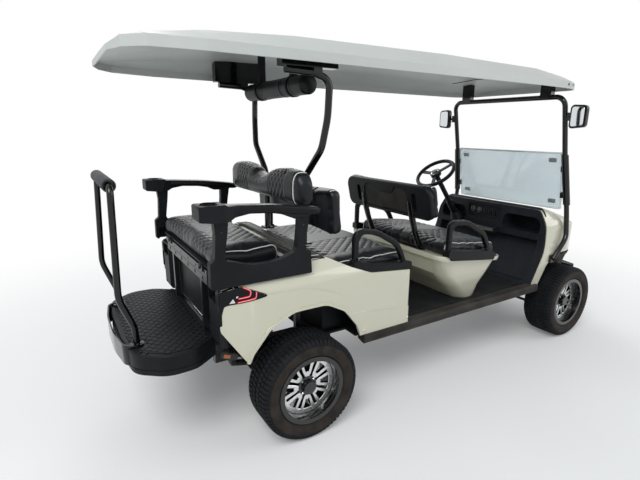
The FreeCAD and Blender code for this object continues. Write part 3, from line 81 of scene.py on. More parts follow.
def add(tree, kind, settings=None, inputs=None):
    """One node, with its settings, and its inputs as values or as another node's outputs."""
    node = tree.nodes.new(kind)
    for name, value in (settings or {}).items():
        setattr(node, name, value)
    for key, value in (inputs or {}).items():
        if isinstance(value, bpy.types.NodeSocket):
            tree.links.new(value, node.inputs[key])
        else:
            node.inputs[key].default_value = value
    return node


def new_material(name, inputs):
    """A material with one principled shader, colours as hex codes; returns material, tree and shader."""
    material = bpy.data.materials.new(name)
    material.use_nodes = True
    tree = material.node_tree
    tree.nodes.clear()
    shader = add(tree, "ShaderNodeBsdfPrincipled", None,
                 {key: linear(value) if isinstance(value, str) else value for key, value in inputs.items()})
    add(tree, "ShaderNodeOutputMaterial", None, {"Surface": shader.outputs["BSDF"]})
    return material, tree, shader


def object_coordinates(tree):
    return add(tree, "ShaderNodeTexCoord").outputs["Object"]


def grain(tree, grain_mm, detail):
    """Noise whose features are about grain_mm wide."""
    return add(tree, "ShaderNodeTexNoise", None, {"Vector": object_coordinates(tree), "Scale": 1 / (grain_mm * MM),
                                                  "Detail": detail}).outputs["Fac"]


def cells(tree, width_mm):
    """Pebbles about width_mm wide."""
    return add(tree, "ShaderNodeTexVoronoi", None, {"Vector": object_coordinates(tree), "Scale": 1 / (width_mm * MM)}
               ).outputs["Distance"]


def spread(tree, value, low, high, to_low, to_high):
    """A value remapped from one range to another."""
    return add(tree, "ShaderNodeMapRange", None,
               {"Value": value, "From Min": low, "From Max": high, "To Min": to_low, "To Max": to_high}
               ).outputs["Result"]


PATCHES = (0.35, 0.7, 0, 1)    # noise drawn apart, as dust lies in patches


def finish(name, inputs, tint=None, shine=None, bump=None, pebble=None, patchy=False):
    """A material that drifts with noise, whose grain in mm and detail come first in tint, shine and bump.

    tint goes on with two colours, shine with a range of the noise and the roughness it becomes, bump with
    its depth in mm and its strength. pebble is a bump of cells: their width in mm, depth and strength.
    """
    material, tree, shader = new_material(name, inputs)
    if tint:
        grain_mm, detail, low, high = tint
        amount = grain(tree, grain_mm, detail)
        if patchy:
            amount = spread(tree, amount, *PATCHES)
        mix = add(tree, "ShaderNodeMix", {"data_type": "RGBA"}, {0: amount, 6: linear(low), 7: linear(high)})
        tree.links.new(mix.outputs[2], shader.inputs["Base Color"])
    if shine:
        tree.links.new(spread(tree, grain(tree, *shine[:2]), *shine[2:]), shader.inputs["Roughness"])
    if bump or pebble:
        height = grain(tree, *bump[:2]) if bump else cells(tree, pebble[0])
        depth_mm, strength = (bump or pebble)[-2:]
        raised = add(tree, "ShaderNodeBump", None,
                     {"Height": height, "Distance": depth_mm * MM, "Strength": strength})
        tree.links.new(raised.outputs["Normal"], shader.inputs["Normal"])
    return material


def grained_black(name, tone, pale, grain_mm, depth_mm, roughness):
    """Injection-moulded plastic with a fine leather grain and a faint dusty cast."""
    return finish(name, {"Roughness": roughness, "IOR": 1.49, "Specular IOR Level": 0.2},
                  tint=(140, 4.0, tone, pale), pebble=(grain_mm, depth_mm, 0.6), patchy=True)


def tyre_rubber(name, tone, pale):
    """Carbon-black rubber, greyed and browned by dust that lies unevenly."""
    return finish(name, {"Roughness": 0.75, "IOR": 1.52, "Specular IOR Level": 0.2},
                  tint=(70, 6.0, tone, pale), bump=(3.0, 4.0, 0.35, 0.5), patchy=True)


# Moulded body panel with clear coat: deep gloss over a slightly uneven surface
IVORY = finish("ivory_clear_coated_panel",
               {"Roughness": 0.28, "IOR": 1.46, "Coat Weight": 0.8, "Coat Roughness": 0.05},
               tint=(420, 2.0, "C8C6B1", "CBCAB6"), shine=(35, 6.0, 0.3, 0.75, 0.20, 0.27),
               bump=(260, 1.0, 0.6, 0.12))
# Thermoformed roof sheet: pale, semi-gloss, with the ripple of a large moulding
ROOF = finish("thermoformed_roof_sheet", {"Roughness": 0.38, "IOR": 1.47},
              tint=(300, 3.0, "B6BAB7", "C0C4C0"), bump=(140, 2.0, 0.8, 0.2))
# Black plastics: general mouldings, dash, smooth trim, grip, lamp housing, speaker, ribs, mats, dusty boards, and the
# brown-grey tray whose colour is a painted reflection
BLACK = grained_black("grained_black_moulding", "0A0C10", "12151A", 1.6, 0.25, 0.5)
DASH = grained_black("charcoal_dash_moulding", "14171C", "1D2127", 1.2, 0.12, 0.6)
SATIN = grained_black("satin_black_moulding", "090A0C", "121316", 1.2, 0.06, 0.3)
GRIP_FOAM = grained_black("grey_grip_sleeve", "3C3E41", "4B4D51", 1.0, 0.2, 0.7)
LAMP_BLACK = grained_black("smoked_lamp_housing", "07090D", "0B0E13", 2.0, 0.02, 0.14)
GRILLE = grained_black("perforated_speaker_grille", "08090A", "17181A", 3.2, 0.9, 0.45)
WORN_TRIM = grained_black("worn_ribbed_trim", "55564D", "77786C", 6.0, 0.1, 0.45)
MAT_BLACK = grained_black("ribbed_floor_mat", "121315", "1F2022", 3.0, 0.5, 0.66)
# Brown-grey moulding: dust on the running boards and sill bars; in the front back's tray the same brown-grey is a
# painted reflection
DUST_AND_REFLECTION_GREY = grained_black("dusty_brown_grey_moulding", "262422", "3D3A36", 5.0, 0.2, 0.6)
# Glossy black paint on bent steel tube, with faint scuffs
TUBE = finish("gloss_black_tube_paint",
              {"Base Color": "050608", "Roughness": 0.12, "IOR": 1.5, "Specular IOR Level": 0.35,
               "Coat Weight": 0.15, "Coat Roughness": 0.04}, shine=(12, 6.0, 0.45, 0.8, 0.1, 0.3))
# Black powder coat on welded steel: orange-peel at a millimetre or two
POWDER = finish("black_powder_coat", {"Roughness": 0.34, "IOR": 1.5},
                tint=(90, 5.0, "0B0B0C", "17171A"), bump=(2.5, 1.0, 0.15, 0.5))
# Marine vinyl: near black with a blue cast, fine pebble grain and a soft sheen
VINYL = finish("black_marine_vinyl",
               {"Roughness": 0.36, "IOR": 1.48, "Specular IOR Level": 0.3, "Sheen Weight": 0.06,
                "Sheen Roughness": 0.4}, tint=(80, 4.0, "090B10", "11141B"), pebble=(2.2, 0.22, 0.5))
# Bright welt cord in vinyl
PIPING = finish("white_vinyl_welt", {"Roughness": 0.4, "IOR": 1.48}, tint=(25, 3.0, "DADAD6", "EEEEEA"))
RUBBER = tyre_rubber("dusty_sidewall_rubber", "1F1C1A", "332D28")
TREAD = tyre_rubber("dark_tread_rubber", "0B0D11", "16181C")
# Gloss black powder on the barrel of a cast wheel
WHEEL = finish("gloss_black_wheel_barrel",
               {"Base Color": "0A0A0C", "Roughness": 0.16, "IOR": 1.5, "Coat Weight": 0.5, "Coat Roughness": 0.05},
               shine=(30, 5.0, 0.3, 0.8, 0.12, 0.32))
# Machined aluminium, its gloss uneven at a few millimetres
MACHINED = finish("machined_aluminium", {"Base Color": "E2E4E4", "Metallic": 1.0, "Roughness": 0.3},
                  shine=(4.0, 2.0, 0.2, 0.8, 0.18, 0.36))
# Clear acrylic pane with a faint blue-white haze
PANE = finish("clear_acrylic_sheet",
              {"Base Color": "E4EEF2", "Roughness": 0.04, "IOR": 1.49, "Transmission Weight": 0.82, "Alpha": 0.72},
              shine=(180, 4.0, 0.3, 0.8, 0.02, 0.12))
# Red lens over lit strips
LENS_RED = finish("red_lamp_lens",
                  {"Roughness": 0.12, "IOR": 1.5, "Emission Color": "D01022", "Emission Strength": 0.22},
                  tint=(6, 2.0, "980A18", "C81828"))
# Clear polycarbonate lens with a pale reflector behind it
LENS_CLEAR = finish("clear_polycarbonate_lens", {"Roughness": 0.06, "IOR": 1.58, "Coat Weight": 0.5},
                    tint=(18, 2.0, "AEB6BC", "DCE2E6"))
# Light guide of the lit strips: clear polycarbonate over red diodes, seen as a paler line
LAMP_CORE = finish("lit_lamp_core",
                   {"Roughness": 0.3, "IOR": 1.585, "Emission Color": "F08A92", "Emission Strength": 0.55},
                   tint=(3.0, 1.0, "E87880", "F6A8AE"))
# Chrome plate on small reflectors and screws
CHROME = finish("chrome_plate", {"Base Color": "D8DADC", "Metallic": 1.0, "Roughness": 0.1},
                shine=(5, 3.0, 0.3, 0.8, 0.06, 0.18))
# Silvered glass of the side mirrors
MIRROR = finish("silvered_glass", {"Base Color": "D5DADD", "Metallic": 1.0, "Roughness": 0.02},
                shine=(40, 2.0, 0.3, 0.8, 0.01, 0.05))
# Cut and polished edge of an acrylic sheet, painted pale: a painted highlight for the light that such an edge gathers
EDGE_HIGHLIGHT = finish("polished_acrylic_edge", {"Roughness": 0.15, "IOR": 1.49, "Transmission Weight": 0.3},
              tint=(60, 3.0, "D4E0E4", "F0F6F8"))
# Moulded amber reflector
AMBER = finish("amber_reflector_lens", {"Roughness": 0.2, "IOR": 1.49}, tint=(3, 1.0, "8A4A22", "C0703A"))
# Painted castings and springs under the cart, dulled by dust
CASTING = finish("dusty_painted_casting", {"Roughness": 0.6}, tint=(50, 6.0, "141414", "2C2722"),
                 bump=(4, 3.0, 0.4, 0.5), patchy=True)


# Meshes


def painted(obj, material):
    obj.data.materials.clear()
    obj.data.materials.append(material)
    return obj


def new_object(name, bm):
    """An object in the scene from bmesh data, which is freed."""
    mesh = bpy.data.meshes.new(name)
    bm.to_mesh(mesh)
    bm.free()
    obj = bpy.data.objects.new(name, mesh)
    bpy.context.scene.collection.objects.link(obj)
    return obj


def on_body(obj, body, material, smooth_angle):
    """In its material, shaded smooth up to an angle, and riding on its body."""
    painted(obj, material)
    obj.data.shade_smooth()
    obj.data.set_sharp_from_angle(angle=math.radians(smooth_angle))
    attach(obj, body)
    return obj


def finished(name, bm, body, material, smooth_angle=35):
    """A piece from bmesh data on its body."""
    bm.normal_update()
    return on_body(new_object(name, bm), body, material, smooth_angle)


def body_of_node(node):
    return frame["nodes"][node]["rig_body"]


def dressed(node, material, bevel_mm):
    """A CAD node in its own finish, with its edges broken as a moulding's or a weldment's are."""
    obj = painted(frame["nodes"][node], material)
    if bevel_mm:
        weld = obj.modifiers.new("merge", "WELD")
        weld.merge_threshold = 0.02 * MM
        bevel = obj.modifiers.new("broken_edges", "BEVEL")
        bevel.width = bevel_mm * MM
        bevel.segments = 2
        bevel.limit_method = "ANGLE"
        bevel.angle_limit = math.radians(30)
        bevel.harden_normals = True
        bevel.use_clamp_overlap = True
    return obj


def baked(obj):
    """Modifiers applied: the evaluated mesh takes the place of the object's own."""
    bpy.context.view_layer.update()
    mesh = bpy.data.meshes.new_from_object(obj.evaluated_get(bpy.context.evaluated_depsgraph_get()))
    old, obj.data = obj.data, mesh
    obj.modifiers.clear()
    bpy.data.meshes.remove(old)
    return obj


def evened(points, spacing):
    """Points along a line at an even spacing, smoothed a little."""
    for _ in range(3):
        points = [points[0]] + [(p + (before + after) / 2) / 2 for before, p, after
                                in zip(points, points[1:], points[2:])] + [points[-1]]
    lengths = [0.0]
    for before, after in zip(points, points[1:]):
        lengths.append(lengths[-1] + (after - before).length)
    count = max(4, int(lengths[-1] / spacing))
    even, i = [], 0
    for step in range(count + 1):
        at = lengths[-1] * step / count
        while i < len(lengths) - 2 and lengths[i + 1] < at:
            i += 1
        share = (at - lengths[i]) / max(1e-9, lengths[i + 1] - lengths[i])
        even.append(points[i].lerp(points[i + 1], min(1.0, share)))
    return even


def cord_mesh(bm, points, radius, sides=8, closed=False):
    """A round cord swept along points, its ends drawn to a dome."""
    rings = []
    count = len(points)
    side = None
    for i, point in enumerate(points):
        before = points[i - 1] if closed or i else points[i]
        after = points[(i + 1) % count] if closed or i < count - 1 else points[i]
        ahead = (after - before).normalized()
        if side is None:
            side = ahead.orthogonal().normalized()
        side = (side - ahead * side.dot(ahead)).normalized()
        up = ahead.cross(side)
        rings.append([bm.verts.new(point + (side * math.cos(t) + up * math.sin(t)) * radius)
                      for t in (2 * math.pi * k / sides for k in range(sides))])
    pairs = list(zip(rings, rings[1:])) + ([(rings[-1], rings[0])] if closed else [])
    for ring, following in pairs:
        for k in range(sides):
            bm.faces.new((ring[k - 1], ring[k], following[k], following[k - 1]))
    if not closed:
        for ring, tip, way in ((rings[0], points[0], points[0] - points[1]),
                               (rings[-1], points[-1], points[-1] - points[-2])):
            dome = bm.verts.new(tip + way.normalized() * radius * 0.8)
            for k in range(sides):
                bm.faces.new((ring[k - 1], ring[k], dome))
    return bm


def between(rows, at):
    """Value at a place between the rows of a table, eased from row to row."""
    if at <= rows[0][0]:
        return rows[0][1]
    for (x0, v0), (x1, v1) in zip(rows, rows[1:]):
        if at <= x1:
            share = (at - x0) / (x1 - x0)
            return v0 + (v1 - v0) * share * share * (3 - 2 * share)
    return rows[-1][1]


def spun(bm, profile, centre, axis, steps=48, closed=False):
    """Rows of (place along the axis, radius) spun into a skin; closed joins the last row to the first."""
    axis = Vector(axis).normalized()
    aside = axis.orthogonal().normalized()
    other = axis.cross(aside)
    rings = []
    for along, radius in profile:
        middle = Vector(centre) + axis * along
        if radius < 1e-6:
            rings.append([bm.verts.new(middle)])
            continue
        rings.append([bm.verts.new(middle + (aside * math.cos(turn) + other * math.sin(turn)) * radius)
                      for turn in (2 * math.pi * k / steps for k in range(steps))])
    for low, high in list(zip(rings, rings[1:])) + ([(rings[-1], rings[0])] if closed else []):
        for k in range(steps):
            corners = [low[k - 1], low[k]] if len(low) > 1 else [low[0]]
            corners += [high[k], high[k - 1]] if len(high) > 1 else [high[0]]
            bm.faces.new(corners)
    bmesh.ops.recalc_face_normals(bm, faces=bm.faces)
    return bm


def upright(rows, steps=40, closed=False):
    """A small shape spun about Z, to be set out on surfaces."""
    return spun(bmesh.new(), rows, (0, 0, 0), (0, 0, 1), steps, closed)


def softened(rows, steps=5):
    """Corners (x, y, radius) as a closed line with its corners rounded."""
    line = []
    for i, (x, y, radius) in enumerate(rows):
        here = Vector((x, y))
        back = (Vector(rows[i - 1][:2]) - here)
        on = (Vector(rows[(i + 1) % len(rows)][:2]) - here)
        if radius <= 0:
            line.append((x, y))
            continue
        half = back.angle(on) / 2
        cut = min(radius / math.tan(half), back.length * 0.49, on.length * 0.49)
        start, end = here + back.normalized() * cut, here + on.normalized() * cut
        for k in range(steps + 1):
            t = k / steps
            line.append(tuple(start.lerp(here, t).lerp(here.lerp(end, t), t)))
    return line


def rectangle(x0, x1, y0, y1, radius, steps):
    """Outline of a rectangle with rounded corners."""
    return softened([(x0, y0, radius), (x1, y0, radius), (x1, y1, radius), (x0, y1, radius)], steps)


def drawn_in(line, distance):
    """A closed line moved inwards by a distance, corner by corner."""
    area = sum(a[0] * b[1] - b[0] * a[1] for a, b in zip(line, line[1:] + line[:1]))
    way = 1 if area > 0 else -1
    moved = []
    for i, point in enumerate(line):
        back = (Vector(point) - Vector(line[i - 1])).normalized()
        on = (Vector(line[(i + 1) % len(line)]) - Vector(point)).normalized()
        inward = Vector((-(back.y + on.y), back.x + on.x)) * way
        if inward.length < 1e-6:
            moved.append(tuple(point))
            continue
        inward.normalize()
        lean = max(0.35, inward.dot(Vector((-on.y, on.x)) * way))
        moved.append(tuple(Vector(point) + inward * distance / lean))
    return moved


def walled(bm, rings):
    """A closed solid through rings of vertices: walls between them and a face on both ends."""
    for low, high in zip(rings, rings[1:]):
        for k in range(len(low)):
            bm.faces.new((low[k - 1], low[k], high[k], high[k - 1]))
    bm.faces.new(rings[0])
    bm.faces.new(rings[-1])
    bmesh.ops.recalc_face_normals(bm, faces=bm.faces)
    return bm


def full_ring(bm, centre, across, up, count, squareness):
    """A ring of vertices between an ellipse (squareness 1) and a box (0)."""
    ring = []
    for i in range(count):
        turn = math.tau * i / count
        c, n = (math.copysign(abs(value) ** squareness, value) for value in (math.cos(turn), math.sin(turn)))
        ring.append(bm.verts.new(centre + across * c + up * n))
    return ring


def stacked(bm, line, levels, place=Vector((0, 0, 0)), across=Vector((1, 0, 0)), up=Vector((0, 1, 0)),
            out=Vector((0, 0, 1))):
    """A closed solid from one outline: levels are (height, how far the outline is drawn in there)."""
    rings = []
    for height, inset in levels:
        ring = drawn_in(line, inset) if inset else line
        rings.append([bm.verts.new(place + across * a + up * b + out * height) for a, b in ring])
    return walled(bm, rings)


def setting_out_tree():
    """Geometry Nodes: one shape on every point, its Z along 'facing' and its X along 'lying'."""
    tree = bpy.data.node_groups.new("shapes_on_points", "GeometryNodeTree")
    for name, kind in (("Points", "NodeSocketGeometry"), ("Shape", "NodeSocketObject"),
                       ("Finish", "NodeSocketMaterial")):
        tree.interface.new_socket(name, in_out="INPUT", socket_type=kind)
    tree.interface.new_socket("Set Out", in_out="OUTPUT", socket_type="NodeSocketGeometry")
    given = add(tree, "NodeGroupInput").outputs
    facing = add(tree, "GeometryNodeInputNamedAttribute", {"data_type": "FLOAT_VECTOR"}, {"Name": "facing"})
    lying = add(tree, "GeometryNodeInputNamedAttribute", {"data_type": "FLOAT_VECTOR"}, {"Name": "lying"})
    turn = add(tree, "FunctionNodeAxesToRotation", {"primary_axis": "Z", "secondary_axis": "X"},
               {0: facing.outputs["Attribute"], 1: lying.outputs["Attribute"]})
    shape = add(tree, "GeometryNodeObjectInfo", {"transform_space": "ORIGINAL"}, {"Object": given["Shape"]})
    placed = add(tree, "GeometryNodeInstanceOnPoints", None,
                 {"Points": given["Points"], "Instance": shape.outputs["Geometry"],
                  "Rotation": turn.outputs[0]})
    real = add(tree, "GeometryNodeRealizeInstances", None, {"Geometry": placed.outputs["Instances"]})
    finish = add(tree, "GeometryNodeSetMaterial", None,
                 {"Geometry": real.outputs["Geometry"], "Material": given["Finish"]})
    add(tree, "NodeGroupOutput", None, {0: finish.outputs["Geometry"]})
    return tree


SETTING_OUT = setting_out_tree()


def set_out(name, one, places, body, material, smooth_angle=35):
    """Copies of one small shape at rows of (place, facing, lying), as one plain mesh on its body."""
    one.normal_update()
    shape = bpy.data.objects.new("one_" + name, bpy.data.meshes.new("one_" + name))
    one.to_mesh(shape.data)
    one.free()
    mesh = bpy.data.meshes.new(name)
    mesh.from_pydata([tuple(row[0]) for row in places], [], [])
    for key, column in (("facing", 1), ("lying", 2)):
        attribute = mesh.attributes.new(key, "FLOAT_VECTOR", "POINT")
        attribute.data.foreach_set("vector", [value for row in places for value in row[column]])
    obj = bpy.data.objects.new(name, mesh)
    bpy.context.scene.collection.objects.link(obj)
    modifier = obj.modifiers.new("set_out", "NODES")
    modifier.node_group = SETTING_OUT
    wanted = {"Shape": shape, "Finish": material}
    for item in SETTING_OUT.interface.items_tree:
        if item.name in wanted and item.in_out == "INPUT":
            modifier[item.identifier] = wanted[item.name]
    baked(obj)
    bpy.data.objects.remove(shape)
    return on_body(obj, body, material, smooth_angle)


SKINS = {}


def struck(node, origin, direction):
    """Where a line from a place in a direction meets a CAD node, and the way its surface faces."""
    if node not in SKINS:
        mesh = frame["nodes"][node].data
        SKINS[node] = BVHTree.FromPolygons([v.co for v in mesh.vertices],
                                           [tuple(f.vertices) for f in mesh.polygons])
    direction = Vector(direction).normalized()
    place, facing, _, _ = SKINS[node].ray_cast(Vector(origin), direction)
    if place is None:
        raise ValueError("nothing of %s is met from %s" % (node, tuple(origin)))
    return place, facing if facing.dot(direction) < 0 else -facing


def button_head(radius, height):
    """Button-head screw with a round socket, standing on z = 0 and sunk a little below it."""
    rows = [(-0.0006, radius), (height * 0.35, radius), (height * 0.8, radius * 0.8),
            (height, radius * 0.55), (height, radius * 0.42), (height * 0.45, radius * 0.42 * 0.9),
            (height * 0.45, 0)]
    return upright([(-0.0006, 0)] + rows, 12)


def screws(name, rows, radius, material, height=None):
    """Screws of the chassis where lines meet nodes: rows are (node, origin, direction)."""
    places = []
    for node, origin, direction in rows:
        place, facing = struck(node, origin, direction)
        places.append((place, facing, facing.orthogonal()))
    return set_out(name, button_head(radius, height or radius * 0.6), places, CHASSIS, material)


def both(rows):
    """Rows of (node, origin, direction), and the same on the other side of the cart."""
    return [row for node, (x, y, z), (u, v, w) in rows
            for row in ((node, (x, y, z), (u, v, w)), (node, (x, -y, z), (u, -v, w)))]


CAD_FINISH = [
    # node, material, width of the broken edge in mm
    ("frame_rails", POWDER, 2.0), ("cross_members", POWDER, 2.0), ("outriggers", POWDER, 2.0),
    ("floor_pan", MAT_BLACK, 1.5), ("running_boards", DUST_AND_REFLECTION_GREY, 1.5),
    ("front_cowl", IVORY, 2.0), ("headlights", LENS_CLEAR, 1.5), ("front_bumper", BLACK, 4.0),
    ("dash", DASH, 3.0), ("pedals", POWDER, 1.5), ("steering_column", BLACK, 1.5),
    ("steering_wheel", BLACK, 2.0), ("rear_body", IVORY, 2.0), ("tail_panel", BLACK, 2.0),
    ("tail_lights", BLACK, 2.0), ("battery_block", BLACK, 4.0), ("seat_pod", IVORY, 2.0),
    ("front_back_shell", BLACK, 2.0), ("front_back_frame", TUBE, 2.0), ("hip_restraints_front", SATIN, 6.0),
    ("hip_restraints_middle", SATIN, 6.0), ("rear_seat_frame", POWDER, 1.5), ("rear_seat_board", BLACK, 1.5),
    ("seat_back_mounts", POWDER, 1.5), ("armrests", BLACK, 4.0), ("footrest", BLACK, 5.0),
    ("grab_bar", TUBE, 1.5), ("roof", ROOF, 3.0), ("rear_struts", TUBE, 1.5), ("front_struts", TUBE, 1.5),
    ("windshield", PANE, 1.0), ("windshield_clips", BLACK, 1.0), ("sound_bar", BLACK, 2.0),
    ("mirrors", TUBE, 3.0), ("front_axle", CASTING, 1.5), ("rear_axle", CASTING, 0),
    ("knuckle_left", CASTING, 1.5), ("knuckle_right", CASTING, 1.5), ("tie_rod", CASTING, 1.0),
]
for node_name, finish, bevel_width in CAD_FINISH:
    dressed(node_name, finish, bevel_width)
for end in ("front", "rear"):
    for side in ("left", "right"):
        painted(frame["nodes"]["tyre_%s_%s" % (end, side)], RUBBER)
        dressed("rim_%s_%s" % (end, side), WHEEL, 1.0)


# Wheels

SIDEWALL = [
    # distance from the wheel's centre plane, radius: bead, rim guard, belly and shoulder
    (0.097, 0.1782), (0.097, 0.199), (0.103, 0.2025), (0.1095, 0.2050), (0.1125, 0.2080), (0.1130, 0.2110),
    (0.1150, 0.2140), (0.1185, 0.2240), (0.1198, 0.2340), (0.1185, 0.2440), (0.1187, 0.2455),
    (0.1150, 0.2580), (0.1080, 0.2710), (0.0990, 0.2795), (0.0900, 0.2825),
]
SHOULDER_BLOCK = [(0.074, 0.2815), (0.074, 0.2912), (0.091, 0.2905), (0.1005, 0.2865), (0.1085, 0.2790),
                  (0.1135, 0.2690), (0.1155, 0.2610), (0.1100, 0.2600)]
BLOCKS_AROUND = 68


def lengthwise(bm, section, half_length, edge=0.0012):
    """A block along X with the section (y, z) and its ends drawn in at the edges."""
    rings = []
    for x, inset in ((-half_length, edge), (-half_length + edge, 0), (half_length - edge, 0), (half_length, edge)):
        ring = drawn_in(section, inset) if inset else section
        rings.append([bm.verts.new((x, y, z)) for y, z in ring])
    return walled(bm, rings)


def about_wheel(centre, count, phase=0.0, reverse=False):
    """Places round a wheel: at its centre, facing outwards along each radius."""
    rows = []
    for k in range(count):
        turn = 2 * math.pi * (k + phase) / count
        radial = Vector((math.cos(turn), 0, math.sin(turn)))
        tangent = Vector((-math.sin(turn), 0, math.cos(turn)))
        rows.append((Vector(centre), radial, -tangent if reverse else tangent))
    return rows


def tread_blocks():
    """One shoulder block, with two slanted lugs beside it."""
    bm = lengthwise(bmesh.new(), SHOULDER_BLOCK, 0.0102)
    for y0, y1, shift in ((0.045, 0.068, 0.006), (0.008, 0.038, -0.004)):
        line = softened([(-0.0098 + shift, y0, 0.002), (0.0072 + shift, y0, 0.002), (0.0108, y1, 0.002),
                         (-0.0082, y1, 0.002)], 1)
        stacked(bm, line, [(0.2825, 0), (0.2906, 0), (0.2917, 0.0012)])
    return bm


def tyre(end, side, axle_x, way):
    """Carcass, dark tread belt and its blocks, in place of the smooth ring."""
    node = "tyre_%s_%s" % (end, side)
    body = body_of_node(node)
    centre = (axle_x, way * WHEEL_Y, AXLE_Z)
    rows = [(-a, r) for a, r in SIDEWALL] + [(a, r) for a, r in reversed(SIDEWALL)]
    carcass = finished(node + "_carcass", spun(bmesh.new(), rows, centre, (0, 1, 0), 96, closed=True), body,
                       RUBBER, smooth_angle=50)
    belt = [(-0.098, 0.2770), (-0.094, 0.2828), (-0.071, 0.2838), (-0.0415, 0.2838), (0.0, 0.2842),
            (0.0415, 0.2838), (0.071, 0.2838), (0.094, 0.2828), (0.098, 0.2770)]
    finished(node + "_tread_belt", spun(bmesh.new(), belt, centre, (0, 1, 0), 96, closed=True), body, TREAD)
    places = about_wheel(centre, BLOCKS_AROUND) + about_wheel(centre, BLOCKS_AROUND, 0.5, True)
    set_out(node + "_tread_blocks", tread_blocks(), places, body, TREAD)
    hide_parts(node)


SPOKE_FACE = 0.0421            # outboard of the wheel's centre plane


def spoke_pair():
    """Machined faces of one pair of spokes, their web at the hub and the pad at the ring; Z is outboard."""
    bm = bmesh.new()
    web = [(0.050, -0.0125, 0.003), (0.078, -0.0165, 0.004), (0.086, 0.0, 0.006), (0.078, 0.0165, 0.004),
           (0.050, 0.0125, 0.003)]
    stacked(bm, softened(web, 3), [(-0.002, 0), (0.0008, 0), (0.0022, 0.0016)])
    for lean in (-1, 1):
        root, tip = math.radians(lean * 10.5), math.radians(lean * 15)
        start = Vector((0.066 * math.cos(root), 0.066 * math.sin(root)))
        end = Vector((0.1655 * math.cos(tip), 0.1655 * math.sin(tip)))
        run = (end - start).normalized()
        aside = Vector((-run.y, run.x))
        bar = [(*(start - aside * 0.0070), 0.002), (*(end - aside * 0.0100), 0.002),
               (*(end + aside * 0.0100), 0.002), (*(start + aside * 0.0070), 0.002)]
        stacked(bm, softened(bar, 2), [(-0.002, 0), (0.0010, 0), (0.0026, 0.0016)])
    return bm


def ring_pad():
    """Machined pad of the outer ring between two spoke tips."""
    bm = bmesh.new()
    line = []
    for radius, turns in ((0.1400, range(-12, 13, 3)), (0.1688, range(12, -13, -3))):
        line += [(radius * math.cos(math.radians(t)), radius * math.sin(math.radians(t))) for t in turns]
    return stacked(bm, line, [(-0.0040, 0), (-0.0006, 0), (0.0010, 0.0016)])


def wheel_face(end, side, axle_x, way):
    """Machined spoke faces and ring pads, the castellated cap and its lug nuts."""
    node = "rim_%s_%s" % (end, side)
    body = body_of_node(node)
    out = Vector((0, way, 0))
    middle = Vector((axle_x, way * (WHEEL_Y + SPOKE_FACE), AXLE_Z))

    def fan(count, phase=0.0):
        turns = [2 * math.pi * (k + phase) / count for k in range(count)]
        return [(middle, out, Vector((math.cos(t), 0, math.sin(t)))) for t in turns]

    set_out(node + "_spoke_faces", spoke_pair(), fan(8), body, MACHINED)
    set_out(node + "_ring_pads", ring_pad(), fan(8, 0.5) + fan(8), body, MACHINED)
    hub = [(0.0, 0.0), (0.0, 0.0575), (0.003, 0.0565), (0.0042, 0.054), (0.0042, 0.0)]
    finished(node + "_hub_plate", spun(bmesh.new(), hub, middle, out, 48), body, WHEEL)
    cap = [(0.0, 0.0), (0.0, 0.0375), (0.020, 0.0365), (0.028, 0.0335), (0.0335, 0.0290), (0.0345, 0.0240),
           (0.0318, 0.0215), (0.0318, 0.0)]
    finished(node + "_cap", spun(bmesh.new(), cap, middle, out, 48), body, WHEEL)
    tooth = stacked(bmesh.new(), softened([(0.030, -0.0075, 0.002), (0.0415, -0.0060, 0.002),
                                           (0.0415, 0.0060, 0.002), (0.030, 0.0075, 0.002)], 2),
                    [(0.0, 0), (0.026, 0), (0.030, 0.0025)])
    set_out(node + "_cap_teeth", tooth, fan(8, 0.5), body, WHEEL)
    nut = spun(bmesh.new(), [(0.0, 0.0), (0.0, 0.0062), (0.010, 0.0058), (0.012, 0.0040), (0.012, 0.0)],
               (0.0485, 0, 0), (0, 0, 1), 6)
    set_out(node + "_lug_nuts", nut, fan(4, 0.5), body, CHROME, smooth_angle=20)


for end, axle_x in (("front", FRONT_AXLE_X), ("rear", REAR_AXLE_X)):
    for side, way in (("left", 1), ("right", -1)):
        tyre(end, side, axle_x, way)
        wheel_face(end, side, axle_x, way)


# Seat pads


ROUND_END = 0.046              # how far the ends of a pad round over


class Pad:
    """One pad: its own axes are along (its depth or height), y, and crown (away from its rest)."""

    def __init__(self, name, node, corner, along, crown, size, half_width, corners, bands, quilt,
                 welt_inset, top_line=None):
        self.name, self.node, self.corner = name, node, Vector(corner)
        self.along, self.crown = Vector(along), Vector(crown)
        self.size, self.half_width, self.corners = size, half_width, corners
        self.bands, self.quilt, self.welt_inset, self.top_line = bands, quilt, welt_inset, top_line

    def to_place(self, a, y, b):
        return self.corner + self.along * a + self.crown * b + Vector((0, y, 0))

    def to_own(self, place):
        offset = place - self.corner
        return offset.dot(self.along), place.y, offset.dot(self.crown)

    def length_at(self, y):
        return self.size[0] if self.top_line is None else between(self.top_line, abs(y))


def rounded_loop(a0, a1, b0, b1, radii, steps=6):
    """Rectangle with its own radius at each corner, from the rear resting corner round."""
    loop = []
    centres = [(a0, b0, 1, 1, 180), (a1, b0, -1, 1, 270), (a1, b1, -1, -1, 0), (a0, b1, 1, -1, 90)]
    room = min(a1 - a0, b1 - b0) / 2 - 0.001
    for (a, b, toward_a, toward_b, start), radius in zip(centres, radii):
        radius = max(0.002, min(radius, room))
        for step in range(steps + 1):
            angle = math.radians(start + 90 * step / steps)
            loop.append((a + toward_a * radius + radius * math.cos(angle),
                         b + toward_b * radius + radius * math.sin(angle)))
    return loop


